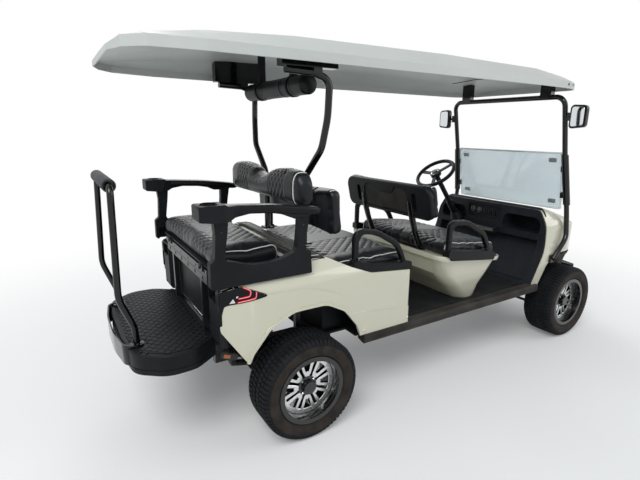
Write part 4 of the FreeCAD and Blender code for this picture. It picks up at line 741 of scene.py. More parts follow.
def stuffing(pad, slack=0.002, crown_room=0.017):
    """Closed cover before it is filled: flatter than the pad, ends rounded over."""
    bm = bmesh.new()
    rings = []
    half = pad.half_width + 0.004
    stations = [half - ROUND_END * (1 - math.cos(math.radians(angle))) for angle in range(0, 91, 10)]
    stations += [half - ROUND_END - (half - ROUND_END) * i / 12 for i in range(1, 13)]
    stations = stations + [-y for y in reversed(stations[:-1])]
    for y in stations:
        past = max(0.0, abs(y) - (half - ROUND_END)) / ROUND_END
        inset = slack + ROUND_END * (1 - math.sqrt(max(0.0, 1 - past * past))) * 0.92
        loop = rounded_loop(inset, pad.length_at(y) - inset, 0.001 + inset * 0.35,
                            pad.size[1] - crown_room - inset, pad.corners)
        rings.append([bm.verts.new(pad.to_place(a, y, b)) for a, b in loop])
    obj = new_object(pad.name, walled(bm, rings))
    remesh = obj.modifiers.new("even_faces", "REMESH")
    remesh.mode = "VOXEL"
    remesh.voxel_size = PAD_VOXEL
    return baked(obj)


def filled(pads_and_covers):
    """All the covers blown up together as their foam fills them, each point's travel capped."""
    scene = bpy.context.scene
    for _, obj in pads_and_covers:
        cloth = obj.modifiers.new("foam_pressure", "CLOTH")
        cloth.settings.use_pressure = True
        cloth.settings.uniform_pressure_force = PAD_PRESSURE
        cloth.settings.effector_weights.gravity = 0.0
        cloth.settings.quality = 4
        cloth.point_cache.frame_start = 1
        cloth.point_cache.frame_end = FILL_FRAMES
    for number in range(1, FILL_FRAMES + 1):
        scene.frame_set(number)
    depsgraph = bpy.context.evaluated_depsgraph_get()
    for _, obj in pads_and_covers:
        blown = obj.evaluated_get(depsgraph).to_mesh()
        places = [vertex.co.copy() for vertex in blown.vertices]
        obj.evaluated_get(depsgraph).to_mesh_clear()
        obj.modifiers.clear()
        for vertex, blown_to in zip(obj.data.vertices, places):
            travel = blown_to - vertex.co
            if travel.length > 1e-6:
                travel.length = FILL_CAP * math.tanh(travel.length / FILL_CAP)
            vertex.co = vertex.co + travel
    scene.frame_set(1)


def settled(pad, obj):
    """The cover against its rest and inside its own space, then divided once more."""
    for vertex in obj.data.vertices:
        a, y, b = pad.to_own(vertex.co)
        length = pad.length_at(y)
        b = soft_limit(b, 0.0, pad.size[1] + 0.002, 0.0005, 0.006)
        a = soft_limit(a, 0.0, length + 0.002, 0.006, 0.006)
        y = soft_limit(y, -pad.half_width - 0.001, pad.half_width + 0.001, 0.006, 0.006)
        vertex.co = pad.to_place(a, y, b)
    surface = obj.modifiers.new("smooth_cover", "SUBSURF")
    surface.levels = surface.render_levels = 1
    return baked(obj)


def soft_limit(value, low, high, ease_low, ease_high):
    """A value kept between limits, eased over a few millimetres so that no crease shows."""
    if value > high - ease_high:
        value = high - ease_high + ease_high * math.tanh((value - high + ease_high) / ease_high)
    if value < low + ease_low:
        value = low + ease_low - ease_low * math.tanh((low + ease_low - value) / ease_low)
    return value


def quilted(pad, obj):
    """Diamond quilting sunk between its seams inside the pad's bands, with a seam along each band."""
    mesh = obj.data
    normals = [normal.vector.copy() for normal in mesh.vertex_normals]
    wide, tall, depth = pad.quilt
    moves = []
    for vertex, normal in zip(mesh.vertices, normals):
        a, y, b = pad.to_own(vertex.co)
        length = pad.length_at(y)
        wrap = pad.size[1] - b
        s = a + wrap * smooth(a, length - 0.10, length - 0.03) - wrap * (1 - smooth(a, 0.02, 0.08))
        sunk = 0.0
        for y0, y1 in pad.bands:
            inside = smooth(y, y0 - 0.004, y0 + 0.010) * (1 - smooth(y, y1 - 0.010, y1 + 0.004))
            if inside > 0:
                across = (y - (y0 + y1) / 2) / wide
                first, second = math.sin(math.pi * (s / tall + across)), math.sin(math.pi * (s / tall - across))
                puff = math.sqrt(abs(first * second))
                sunk += inside * depth * (1 - puff) ** 1.25
            for edge in (y0, y1):
                sunk += 0.0022 * math.exp(-((y - edge) / 0.0045) ** 2)
        welt = abs(y) - (pad.half_width - pad.welt_inset)
        sunk += 0.003 * math.exp(-(welt / 0.006) ** 2)
        sunk *= smooth(b, 0.004, 0.022)
        moves.append(normal * -sunk)
    for vertex, move in zip(mesh.vertices, moves):
        vertex.co = vertex.co + move
    return obj


def smooth(value, low, high):
    share = max(0.0, min(1.0, (value - low) / (high - low)))
    return share * share * (3 - 2 * share)


def section_line(pad, obj, y, above):
    """Ordered points where a pad's cover crosses the plane y, off its rest."""
    bm = bmesh.new()
    bm.from_mesh(obj.data)
    cut = bmesh.ops.bisect_plane(bm, geom=bm.verts[:] + bm.edges[:] + bm.faces[:], dist=1e-6,
                                 plane_co=(0, y, 0), plane_no=(0, 1, 0))
    edges = {item for item in cut["geom_cut"] if isinstance(item, bmesh.types.BMEdge)}
    verts = {item for item in cut["geom_cut"] if isinstance(item, bmesh.types.BMVert)}
    start = min(verts, key=lambda v: (pad.to_own(v.co)[2], pad.to_own(v.co)[0]))
    chain, last = [start], None
    while True:
        ahead = [edge.other_vert(chain[-1]) for edge in chain[-1].link_edges if edge in edges]
        ahead = [v for v in ahead if v is not last]
        if not ahead or (len(chain) > 2 and ahead[0] is start):
            break
        last = chain[-1]
        chain.append(ahead[0])
        if len(chain) > len(verts) + 2:
            break
    points = [v.co.copy() for v in chain]
    bm.free()
    kept = [p for p in points if pad.to_own(p)[2] > above]
    gap = max(range(len(kept)), key=lambda i: (kept[i] - kept[i - 1]).length)
    return kept[gap:] + kept[:gap]


PAD_VOXEL = 0.0105
PAD_PRESSURE = 1.0
FILL_FRAMES = 20
FILL_CAP = 0.022               # farthest that a point of a cover travels
WELT_RADIUS = 0.0036
UP, LEFT = Vector((0, 0, 1)), Vector((0, 1, 0))
FORWARD, BACKWARD = Vector((1, 0, 0)), Vector((-1, 0, 0))


def leaning(degrees):
    """Axes of a back pad that faces forward: up along its height, and out of its face."""
    c, s = math.cos(math.radians(degrees)), math.sin(math.radians(degrees))
    return Vector((-s, 0, c)), Vector((c, 0, s))


SLOPE = math.radians(7.049)    # of the front seat, down to the front
FRONT_ALONG = Vector((math.cos(SLOPE), 0, -math.sin(SLOPE)))
FRONT_CROWN = Vector((math.sin(SLOPE), 0, math.cos(SLOPE)))
REAR_BACK_TOP = [(0.0, 0.158), (0.06, 0.166), (0.115, 0.19), (0.18, 0.204), (0.30, 0.206), (0.40, 0.198),
                 (0.455, 0.184), (0.50, 0.160)]
BENCH_BANDS = ((-0.395, -0.105), (0.105, 0.395))
FRONT_BANDS = ((-0.365, -0.100), (0.100, 0.365))
BACK_BANDS = ((-0.335, -0.155), (0.155, 0.335))
PADS = [
    # name, node it stands for, resting corner, along, crown, (length, thickness), half width,
    # corner radii from the rear resting corner round, quilted bands in y, diamond (wide, tall, depth),
    # welt's distance from the end, line of the top
    Pad("front_cushion_pad", "front_seat_cushion", (0.160, 0, 0.82271), FRONT_ALONG, FRONT_CROWN,
        (0.530, 0.118), 0.484, (0.02, 0.02, 0.052, 0.036), FRONT_BANDS, (0.066, 0.066, 0.0062), 0.026),
    Pad("middle_cushion_pad", "middle_seat_cushion", (-0.795, 0, 0.8383), FORWARD, UP,
        (0.570, 0.1117), 0.520, (0.02, 0.02, 0.052, 0.036), BENCH_BANDS, (0.066, 0.066, 0.0062), 0.026),
    Pad("rear_cushion_pad", "rear_seat_cushion", (-1.098, 0, 0.9933), BACKWARD, UP,
        (0.360, 0.1147), 0.512, (0.02, 0.02, 0.050, 0.036), BENCH_BANDS, (0.062, 0.062, 0.006), 0.024),
    Pad("front_back_pad", "front_seat_back", (0.06926, 0, 1.07507), *leaning(12),
        (0.236, 0.072), 0.465, (0.02, 0.02, 0.036, 0.034), BACK_BANDS, (0.045, 0.070, 0.0055), 0.030),
    Pad("middle_back_pad", "middle_seat_back", (-0.769, 0, 1.078), *leaning(4),
        (0.265, 0.096), 0.505, (0.02, 0.02, 0.066, 0.070), BACK_BANDS, (0.045, 0.070, 0.0055), 0.030),
    Pad("rear_back_pad", "rear_seat_back", (-0.884, 0, 1.252), UP, BACKWARD,
        (0.206, 0.112), 0.500, (0.03, 0.03, 0.052, 0.050), BACK_BANDS, (0.042, 0.070, 0.0058), 0.066,
        REAR_BACK_TOP),
]


def upholstered():
    """Every pad filled, quilted and welted, in place of its plain solid."""
    covers = [(pad, stuffing(pad)) for pad in PADS]
    filled(covers)
    for pad, obj in covers:
        obj = quilted(pad, settled(pad, obj))
        painted(obj, VINYL)
        obj.data.shade_smooth()
        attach(obj, body_of_node(pad.node))
        bm = bmesh.new()
        for side in (-1, 1):
            line = section_line(pad, obj, side * (pad.half_width - pad.welt_inset), 0.012)
            cord_mesh(bm, evened(line, 0.007), WELT_RADIUS)
        welt = finished(pad.name.replace("pad", "welt"), bm, body_of_node(pad.node), PIPING)
        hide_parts(pad.node)


upholstered()


# Fittings

STEP_PANEL_TOP = 0.6121        # the lozenges lie only above this height
COVER_PROUD = 0.0022           # how far a thin cover stands out of what it covers
ARM_Y = 0.585                  # middle of the armrests and their cup holders
POST_Y = 0.262                 # middle of the posts of the front back


def fitted(name, bm, material, smooth_angle=35):
    """A fitting of the chassis."""
    return finished(name, bm, CHASSIS, material, smooth_angle)


def laid(name, one, places, material):
    """Copies of one small shape on the chassis."""
    return set_out(name, one, places, CHASSIS, material)


def bar_outline(length, width, radius=None):
    """Outline of a bar about its middle, its ends rounded."""
    a, b, r = length / 2, width / 2, radius if radius else width * 0.45
    return rectangle(-a, a, -b, b, r, 2)


def step_tread():
    """Lozenges in two directions, like tread plate, over the step's raised panel."""
    places = []
    pitch = 0.0245
    for i in range(19):
        for j in range(-21, 22):
            x, y = -1.478 - i * pitch, j * pitch
            try:
                place, facing = struck("footrest", (x, y, 0.70), (0, 0, -1))
            except ValueError:
                continue
            if place.z > STEP_PANEL_TOP and facing.z > 0.9:
                places.append((place, facing, Vector((1, 1 if (i + j) % 2 else -1, 0))))
    lozenge = stacked(bmesh.new(), bar_outline(0.0290, 0.0075, 0.0034),
                      [(-0.0005, 0), (0.0010, 0), (0.0022, 0.0016)])
    laid("step_tread_lozenges", lozenge, places, BLACK)


def sill_tread():
    """Slanted bars along the top of both running boards, and a screw near each end."""
    places = []
    for k in range(101):
        x = -0.555 + k * 0.0160
        for way in (1, -1):
            place, facing = struck("running_boards", (x, way * 0.571, 0.60), (0, 0, -1))
            places.append((place, facing, Vector((1, way, 0))))
    bar = stacked(bmesh.new(), bar_outline(0.040, 0.0048), [(-0.0005, 0), (0.0007, 0), (0.0015, 0.0012)])
    laid("sill_tread_bars", bar, places, DUST_AND_REFLECTION_GREY)
    screws("sill_screws", both([("running_boards", (x, 0.571, 0.60), (0, 0, -1)) for x in (-0.584, 1.084)]),
           0.0075, CHROME)


def floor_mats():
    """Two ribbed mats on the floor, behind and ahead of the pod."""
    for name, x0, x1 in (("rear_floor_mat", -0.215, 0.300), ("front_floor_mat", 0.600, 1.040)):
        middle = (x0 + x1) / 2
        line = rectangle(x0, x1, -0.495, 0.495, 0.03, 4)
        bm = stacked(bmesh.new(), line, [(0.4710, 0), (0.4735, 0), (0.4745, 0.0015)])
        fitted(name, bm, MAT_BLACK)
        count = int((x1 - x0 - 0.05) / 0.0135)
        places = [((middle + (k - (count - 1) / 2) * 0.0135, 0, 0.4743), (0, 0, 1), (0, 1, 0))
                  for k in range(count)]
        rib = stacked(bmesh.new(), bar_outline(0.94, 0.0055), [(-0.0005, 0), (0.0010, 0), (0.0020, 0.0014)])
        laid(name + "_ribs", rib, places, MAT_BLACK)


LAMP_STRIPS = {
    # side view of the lit strips, x and z in this frame
    "outer": [(-1.374, 0.850), (-1.280, 0.856), (-1.2765, 0.888)],
    "inner": [(-1.368, 0.869), (-1.310, 0.872), (-1.305, 0.899), (-1.342, 0.920)],
}
REFLECTORS = [[(-1.417, 0.850), (-1.395, 0.875), (-1.382, 0.850)],
              [(-1.382, 0.873), (-1.378, 0.884), (-1.368, 0.884), (-1.370, 0.875)]]
# corner cover of the lamp: x along the cart, its lower and its upper edge
LAMP_COVER = [(-1.4605, 0.766, 0.930), (-1.455, 0.782, 0.930), (-1.440, 0.835, 0.930), (-1.420, 0.8405, 0.930),
              (-1.392, 0.8405, 0.930), (-1.378, 0.8405, 0.930), (-1.372, 0.8405, 0.930),
              (-1.350, 0.8405, 0.924), (-1.325, 0.8420, 0.914),
              (-1.295, 0.8440, 0.902), (-1.270, 0.8460, 0.890), (-1.245, 0.8490, 0.878), (-1.228, 0.8520, 0.870),
              (-1.219, 0.8560, 0.864)]


def lamp_surface(x, z, way):
    """Outer face of the lamp at a place in side view, or of the panel round it past the lamp's edge."""
    for node, lift in (("tail_lights", 0), ("rear_body", 0), ("tail_lights", 0.003), ("tail_lights", -0.003),
                       ("tail_lights", 0.006), ("tail_lights", -0.006), ("rear_body", -0.006), ("tail_panel", 0)):
        try:
            place, facing = struck(node, (x, way * 0.80, z + lift), (0, -way, 0))
        except ValueError:
            continue
        if abs(place.y) > 0.5:
            return place, facing
    raise ValueError("no lamp at %.3f, %.3f" % (x, z))


def cover_row(x, low, high, way):
    """Places up the lamp's corner cover at one x; aft of the skirt it turns in over the body's top."""
    if x > -1.385:
        return [lamp_surface(x, z, way) for z in edged(low, high, 11)]
    row = [lamp_surface(x, z, way) for z in edged(low, 0.915, 6)]
    for y in (0.580, 0.574, 0.566, 0.557, 0.554):
        for node in ("rear_body", "tail_panel"):
            try:
                row.append(struck(node, (x, way * y, 1.0), (0, 0, -1)))
                break
            except ValueError:
                pass
        else:
            row.append(row[-1])
    return row


def fitted_skin(bm, rows, proud, sunk=0.0015):
    """Thin moulded cover on a surface: rows of (place, facing) in a grid, its rim let into what it covers."""
    def grid(lift):
        return [[bm.verts.new(place + facing * (lift if 0 < i < len(rows) - 1 and 0 < j < len(row) - 1 else -sunk))
                 for j, (place, facing) in enumerate(row)] for i, row in enumerate(rows)]
    top = grid(proud)
    rim = []
    for i in range(len(rows) - 1):
        for j in range(len(rows[0]) - 1):
            rim.append(bm.faces.new((top[i][j], top[i + 1][j], top[i + 1][j + 1], top[i][j + 1])))
    under = {}
    for i, row in enumerate(rows):
        for j, (place, facing) in enumerate(row):
            edge = i in (0, len(rows) - 1) or j in (0, len(row) - 1)
            under[i, j] = top[i][j] if edge else bm.verts.new(place - facing * sunk)
    for i in range(len(rows) - 1):
        for j in range(len(rows[0]) - 1):
            bm.faces.new((under[i, j], under[i, j + 1], under[i + 1, j + 1], under[i + 1, j]))
    bmesh.ops.recalc_face_normals(bm, faces=bm.faces)
    return bm


def edged(low, high, steps):
    """Values from low to high, with one close to each end for the cover's rolled rim."""
    inner = [low + (high - low) * k / steps for k in range(1, steps)]
    rim = min(0.0022, (high - low) * 0.1)
    return [low, low + rim] + inner + [high - rim, high]


def tail_lamp_details():
    """Corner cover, two nested lit strips open to the rear, and bright corner reflectors on each lamp."""
    strips, cores, plates, covers = (bmesh.new() for _ in range(4))
    for way in (1, -1):
        stations = [LAMP_COVER[0]] + [tuple(Vector(a).lerp(Vector(b), t)) for a, b in zip(LAMP_COVER, LAMP_COVER[1:])
                                      for t in (0.12, 0.5, 0.88)] + [LAMP_COVER[-1]]
        rows = [cover_row(x, low, high, way) for x, low, high in stations]
        fitted_skin(covers, rows, COVER_PROUD)
        strip = softened([(-1.4662, way * 0.5770, 0.003), (-1.4500, way * 0.5770, 0.003),
                          (-1.4500, way * 0.5896, 0.005), (-1.4662, way * 0.5882, 0.005)], 3)
        stacked(covers, strip, [(0.738, 0.003), (0.746, 0), (0.842, 0), (0.846, 0.002)])
        for corners in LAMP_STRIPS.values():
            line = [lamp_surface(x, z, way) for x, z in eased(corners)]
            cord_mesh(strips, [place + facing * COVER_PROUD for place, facing in line], 0.0046)
            cord_mesh(cores, [place + facing * 0.0056 for place, facing in line[1:-1]], 0.0017, 6)
        for outline in REFLECTORS:
            lifted = [lamp_surface(x, z, way) for x, z in outline]
            low = [plates.verts.new(place - facing * 0.001) for place, facing in lifted]
            centre = sum((place for place, _ in lifted), Vector()) / len(lifted)
            high = [plates.verts.new(place.lerp(centre, 0.12) + facing * 0.0050) for place, facing in lifted]
            walled(plates, [low, high])
    fitted("tail_lamp_covers", covers, LAMP_BLACK)
    fitted("tail_lamp_strips", strips, LENS_RED)
    fitted("tail_lamp_cores", cores, LAMP_CORE)
    fitted("tail_lamp_reflectors", plates, CHROME, smooth_angle=20)


def eased(corners):
    """A line through corners (x, z) with each corner cut off twice."""
    points = [Vector((x, 0, z)) for x, z in corners]
    for share in (0.10, 0.3):
        cut = [points[0]]
        for a, b in zip(points, points[1:]):
            cut += [a.lerp(b, share), a.lerp(b, 1 - share)]
        points = cut + [points[-1]]
    return [(q.x, q.z) for q in points]


PANEL_X = 1.200                # face of the dash's centre panel


def dash_details():
    """Two dials, four rocker switches, the ribbed shelf face and its screws."""
    back, left = BACKWARD, -LEFT
    places = [((PANEL_X, y, z), back, left) for y, z in ((0.160, 0.968), (0.092, 0.966))]
    bezel = upright([(-0.001, 0.0245), (0.0060, 0.0245), (0.0080, 0.0230), (0.0080, 0.0212),
                     (0.0030, 0.0205), (-0.001, 0.0205)], closed=True)
    laid("dial_bezels", bezel, places, WORN_TRIM)
    glass = upright([(-0.001, 0), (-0.001, 0.0206), (0.0032, 0.0206), (0.0044, 0.0120), (0.0048, 0)])
    laid("dial_faces", glass, places, TUBE)
    ticks = bmesh.new()
    for k in range(9):
        turn = math.radians(-120 + 30 * k)
        where = Vector((math.sin(turn) * 0.0165, math.cos(turn) * 0.0165, 0.0038))
        radial = Vector((math.sin(turn), math.cos(turn), 0))
        stacked(ticks, bar_outline(0.0042, 0.0012, 0.0003), [(-0.0006, 0), (0.0005, 0)], where, radial,
                Vector((-radial.y, radial.x, 0)))
    stacked(ticks, [(-0.0007, -0.004), (0.0007, -0.004), (0.0004, 0.0150), (-0.0004, 0.0150)],
            [(0.0040, 0), (0.0052, 0)])
    laid("dial_marks", ticks, places, PIPING)
    rows = [((PANEL_X, 0.042 - 0.043 * k, 0.962 - 0.001 * k), back, left) for k in range(4)]
    frame_line = bar_outline(0.026, 0.058, 0.0125)
    surround = stacked(bmesh.new(), frame_line, [(-0.001, 0), (0.0020, 0), (0.0032, 0.0012)])
    laid("switch_surrounds", surround, rows, DASH)
    rocker = stacked(bmesh.new(), bar_outline(0.0165, 0.046, 0.008), [(0.0, 0), (0.0050, 0), (0.0066, 0.0016)])
    laid("switch_rockers", rocker, rows, TUBE)
    panel = [(-0.168, 0.912, 0.02), (0.196, 0.912, 0.02), (0.196, 1.012, 0.02), (-0.132, 1.012, 0.02)]
    bm = bmesh.new()
    edge = [Vector((PANEL_X - 0.0005, y, z)) for y, z in softened([(y + 0.004, z, r) for y, z, r in panel], 5)
            if y > -0.135]
    cord_mesh(bm, edge, 0.0022, closed=True)
    fitted("panel_seam", bm, BLACK)
    ribs = [((1.1102, 0.080, z), back, left) for z in (0.8215, 0.8305, 0.8395)]
    rib = stacked(bmesh.new(), bar_outline(0.425, 0.0062), [(-0.001, 0), (0.0012, 0), (0.0026, 0.0018)])
    laid("shelf_ribs", rib, ribs, WORN_TRIM)
    screws("dash_screws", [("dash", (0.9, y, z), (1, 0, 0)) for y, z in
                           ((-0.165, 0.800), (0.315, 0.800), (-0.500, 0.835), (0.505, 0.835))],
           0.0050, POWDER)


WHEEL_HUB = Vector((0.830, 0.300, 1.290))
COLUMN_RUN = Vector((-0.352, 0, 0.460)).normalized()


def steering_details():
    """Wrapped rim with its seam, the bright ring and cap on the hub, and the boot on the column."""
    rim_line = [(0.0158 * math.sin(math.radians(t)), 0.165 + 0.0158 * math.cos(math.radians(t)))
                for t in range(0, 360, 24)]
    wrap = spun(bmesh.new(), rim_line, WHEEL_HUB, COLUMN_RUN, 88, closed=True)
    finished("steering_grip_wrap", wrap, "steering", BLACK, smooth_angle=60)
    seam = [(0.0010 * math.sin(math.radians(t)), 0.1492 + 0.0010 * math.cos(math.radians(t)))
            for t in range(0, 360, 60)]
    finished("steering_wrap_seam", spun(bmesh.new(), seam, WHEEL_HUB, COLUMN_RUN, 88, closed=True), "steering",
             SATIN)
    ring = [(0.0112, 0.0270), (0.0150, 0.0275), (0.0168, 0.0305), (0.0152, 0.0345), (0.0112, 0.0355)]
    finished("hub_bright_ring", spun(bmesh.new(), ring, WHEEL_HUB, COLUMN_RUN, 48, closed=True), "steering",
             CHROME)
    cap = [(0.0112, 0), (0.0112, 0.0268), (0.0150, 0.0262), (0.0182, 0.0190), (0.0194, 0.0100), (0.0196, 0)]
    finished("hub_cap", spun(bmesh.new(), cap, WHEEL_HUB, COLUMN_RUN, 48), "steering", SATIN)
    foot = Vector((1.182, 0.300, 0.830))
    boot = [(0.050, 0.0212), (0.050, 0.056)]
    for k in range(5):
        r = 0.056 - k * 0.0045
        boot += [(0.058 + k * 0.014, r), (0.065 + k * 0.014, r - 0.007)]
    boot += [(0.132, 0.0315), (0.132, 0.0212)]
    fitted("column_boot", spun(bmesh.new(), boot, foot, COLUMN_RUN, 40, closed=True), BLACK)


PANE_FOOT = Vector((1.426, 0, 1.040))
PANE_LEAN = math.atan2(0.081, 0.453)
PANE_UP = Vector((-math.sin(PANE_LEAN), 0, math.cos(PANE_LEAN)))
PANE_OUT = Vector((math.cos(PANE_LEAN), 0, math.sin(PANE_LEAN)))


def pane_details():
    """Polished edges of both panes and the clear hinge along their folded top, both painted pale as a highlight."""
    bm = bmesh.new()
    side = Vector((0, 1, 0))
    for offset in (0.0025, 0.0165):
        line = rectangle(-0.5062, 0.5062, -0.0002, 0.4562, 0.012, 4)
        cord_mesh(bm, [PANE_FOOT + side * y + PANE_UP * z + PANE_OUT * offset for y, z in line], 0.0024,
                  closed=True)
    fitted("pane_edges", bm, EDGE_HIGHLIGHT)
    hinge = stacked(bmesh.new(), softened([(-0.002, 0.449, 0.001), (0.0215, 0.449, 0.001), (0.0215, 0.459, 0.004),
                                           (-0.002, 0.459, 0.004)], 4),
                    [(-0.490, 0.001), (-0.489, 0), (0.489, 0), (0.490, 0.001)], PANE_FOOT, PANE_OUT, PANE_UP,
                    Vector((0, -1, 0)))
    fitted("pane_hinge", hinge, EDGE_HIGHLIGHT)


def sound_bar_details():
    """Domed end caps, clamp rings and the perforated grille of the speaker bar."""
    centre = (-0.850, 0, 1.892)
    bm = bmesh.new()
    for way in (1, -1):
        spun(bm, [(0.3685, 0), (0.3685, 0.0535), (0.3740, 0.0530), (0.3800, 0.0480), (0.3830, 0.0300), (0.3835, 0)],
             centre, (0, way, 0), 48)
        for along in (0.120, 0.245):
            spun(bm, [(along - 0.005, 0.0515), (along - 0.005, 0.0545), (along + 0.005, 0.0545),
                      (along + 0.005, 0.0515)], centre, (0, way, 0), 48, closed=True)
    fitted("speaker_caps_and_rings", bm, SATIN)
    bm = bmesh.new()
    for start, end in ((-0.114, 0.114), (0.252, 0.362), (-0.362, -0.252)):
        spun(bm, [(start, 0.0500), (start, 0.0528), (end, 0.0528), (end, 0.0500)], centre, (0, 1, 0), 48,
             closed=True)
    fitted("speaker_grille", bm, GRILLE)


def mirror_details():
    bm = bmesh.new()
    for way in (1, -1):
        line = softened([(way * 0.595, 1.687, 0.020), (way * 0.595, 1.831, 0.022), (way * 0.686, 1.824, 0.022),
                         (way * 0.686, 1.698, 0.020)], 5)
        stacked(bm, line, [(0.0, 0), (0.0012, 0), (0.0018, 0.0008)], Vector((1.2502, 0, 0)), LEFT, UP, BACKWARD)
    fitted("mirror_glasses", bm, MIRROR, smooth_angle=20)


def headlight_details():
    """Two round projectors let into each clear cover, a little proud of it."""
    places = []
    for way in (1, -1):
        for y, z in ((0.395, 0.748), (0.475, 0.752)):
            place, facing = struck("headlights", (2.2, way * y, z), (-1, 0, 0))
            places.append((place, facing, facing.cross(Vector((0, 0, 1)))))
    ring = upright([(-0.004, 0.0265), (0.0015, 0.0265), (0.0025, 0.0250), (0.0015, 0.0225),
                     (-0.004, 0.0225)], closed=True)
    laid("headlight_bezels", ring, places, CHROME)
    dome = upright([(-0.004, 0), (-0.004, 0.0224), (0.0005, 0.0224), (0.0055, 0.0150), (0.0080, 0)])
    laid("headlight_projectors", dome, places, MIRROR)


def grab_bar_details():
    """Foam sleeve over the grip, open at both ends."""
    centre = (-1.844, 0, 1.405)
    sleeve = [(-0.263, 0.0268), (-0.263, 0.0310), (-0.259, 0.0324), (0.259, 0.0324), (0.263, 0.0310),
              (0.263, 0.0268), (0.250, 0.0262), (-0.250, 0.0262)]
    sleeve = spun(bmesh.new(), sleeve, centre, (0, 1, 0), 40, closed=True)
    fitted("grab_bar_sleeve", sleeve, GRIP_FOAM)


def cup_holder_rims():
    bm = bmesh.new()
    for way in (1, -1):
        spun(bm, [(1.3330, 0.0372), (1.3330, 0.0388), (1.3355, 0.0425), (1.3385, 0.0425), (1.3395, 0.0405),
                  (1.3385, 0.0375)], (-1.486, way * ARM_Y, 0), (0, 0, 1), 48, closed=True)
    fitted("cup_holder_rims", bm, SATIN)


DOWN, INWARD, AHEAD = (0, 0, -1), (0, -1, 0), (1, 0, 0)
FASTENERS = [
    # name, radius, material, node, places on the left side, the way that they are driven in, height
    ("grab_bar_bolts", 0.0050, POWDER, "grab_bar",
     [(-1.800 + 0.0255 * math.cos(t), 0.300 + 0.0255 * math.sin(t), 0.66)
      for t in (math.radians(a) for a in (45, 135, 225, 315))], DOWN),
    ("guard_bolts", 0.0085, SATIN, "grab_bar", [(-1.800, 0.326, 0.70)], DOWN),
    ("armrest_bolts", 0.0050, POWDER, "armrests", [(-1.437, 0.75, 1.205), (-1.010, 0.75, 1.195)], INWARD),
    ("shell_bolts", 0.0050, POWDER, "front_back_shell", [(-0.3, 0.215, 1.105), (-0.3, 0.215, 1.225)], AHEAD),
    ("strut_foot_bolts", 0.0065, POWDER, "front_struts", [(1.250, 0.80, 0.688), (1.274, 0.80, 0.652)], INWARD),
    ("bumper_bolts", 0.0110, POWDER, "front_bumper", [(1.845, 0.250, 0.20)], (0, 0, 1)),
    ("tail_panel_screws", 0.0060, SATIN, "tail_panel",
     [(-2.2, y, z) for y, z in ((0.070, 0.905), (0.240, 0.905), (0.500, 0.830), (0.530, 0.640))], AHEAD),
    ("windshield_bolts", 0.0070, CHROME, "windshield_clips", [(1.404, 0.80, 1.160), (1.369, 0.80, 1.366)], INWARD),
    ("rear_body_screws", 0.0065, CHROME, "rear_body", [(-0.262, 0.80, 0.520), (-0.600, 0.80, 0.515)], INWARD),
    ("roof_plugs", 0.0090, SATIN, "roof", [(1.215, 0.90, 1.985), (1.300, 0.90, 1.985)], INWARD, 0.0025),
]


def small_fasteners():
    """Screws and bolts on both sides, each standing on the surface that it holds."""
    for name, radius, material, node, places, driven, *height in FASTENERS:
        screws(name, both([(node, place, driven) for place in places]), radius, material, *height)


RIDGE_START = 1.2155           # rear edge of the cowl, at the dash


def surface_covers():
    """Black moulded covers: over the body's cross beam between the seats, and along the cowl's rear ridge."""
    bm = bmesh.new()
    for y0, y1, count in ((-0.528, -0.303, 8), (-0.207, 0.207, 12), (0.303, 0.528, 8)):
        rows = []
        for y in edged(y0, y1, count):
            row = [struck("rear_body", (x, y, 1.10), (0, 0, -1)) for x in edged(-0.850, -0.818, 4)]
            row[-1:] = [struck("rear_body", (-0.70, y, z), (-1, 0, 0)) for z in (0.968, 0.956, 0.952)]
            rows.append(row)
        fitted_skin(bm, rows, COVER_PROUD)
    rows = []
    for y in edged(-0.478, 0.478, 24):
        row = [struck("rear_body", (-0.990, y, z), (1, 0, 0)) for z in (0.977, 0.980, 0.985)]
        rows.append(row + [struck("rear_body", (x, y, 1.10), (0, 0, -1)) for x in edged(-0.9045, -0.851, 4)[1:]])
    fitted_skin(bm, rows, COVER_PROUD)
    for way in (1, -1):
        rows = [[struck("rear_body", (x, way * y, 1.10), (0, 0, -1)) for x in edged(-1.045, -0.851, 10)]
                for y in edged(0.500, 0.556, 3)]
        fitted_skin(bm, rows, COVER_PROUD)
    fitted("cross_beam_cover", bm, BLACK)
    bm, rows = bmesh.new(), []
    for k in range(-36, 37):
        t = k / 36
        angle = math.radians(90 - 50 * t)
        out = Vector((0, math.cos(angle) * 1.6, math.sin(angle)))
        rows.append([struck("front_cowl", Vector((x, 0, 0.72)) + out * 1.1, -out)
                     for x in edged(RIDGE_START, 1.262 - 0.030 * abs(t) ** 4, 4)])
    fitted_skin(bm, rows, 0.0020)
    fitted("cowl_ridge_strip", bm, DASH)


def arm_pads():
    """Smooth rounded pad over each arm's rail, full at the front end."""
    # x from the rear axle, height, half height and half width of each section
    levels = [(-0.412, 1.3030, 0.0250, 0.0440), (-0.360, 1.3010, 0.0262, 0.0430), (-0.300, 1.3010, 0.0215, 0.0420),
              (-0.200, 1.2945, 0.0215, 0.0402), (-0.130, 1.2870, 0.0225, 0.0388), (-0.050, 1.2765, 0.0225, 0.0370),
              (0.020, 1.2680, 0.0215, 0.0355), (0.060, 1.2622, 0.0200, 0.0325), (0.080, 1.2600, 0.0165, 0.0265),
              (0.090, 1.2590, 0.0110, 0.0180), (0.0945, 1.2585, 0.0045, 0.0080)]
    bm = bmesh.new()
    for way in (1, -1):
        rings = []
        for k in range(len(levels) - 1):
            for t in ((0, 0.5) if k < len(levels) - 2 else (0, 0.5, 1)):
                x, z, tall, wide = Vector(levels[k]).lerp(Vector(levels[k + 1]), t)
                rings.append(full_ring(bm, Vector((REAR_AXLE_X + x, way * ARM_Y, z)), LEFT * wide, UP * tall, 28, 0.55))
        walled(bm, rings)
    fitted("arm_pads", bm, SATIN)


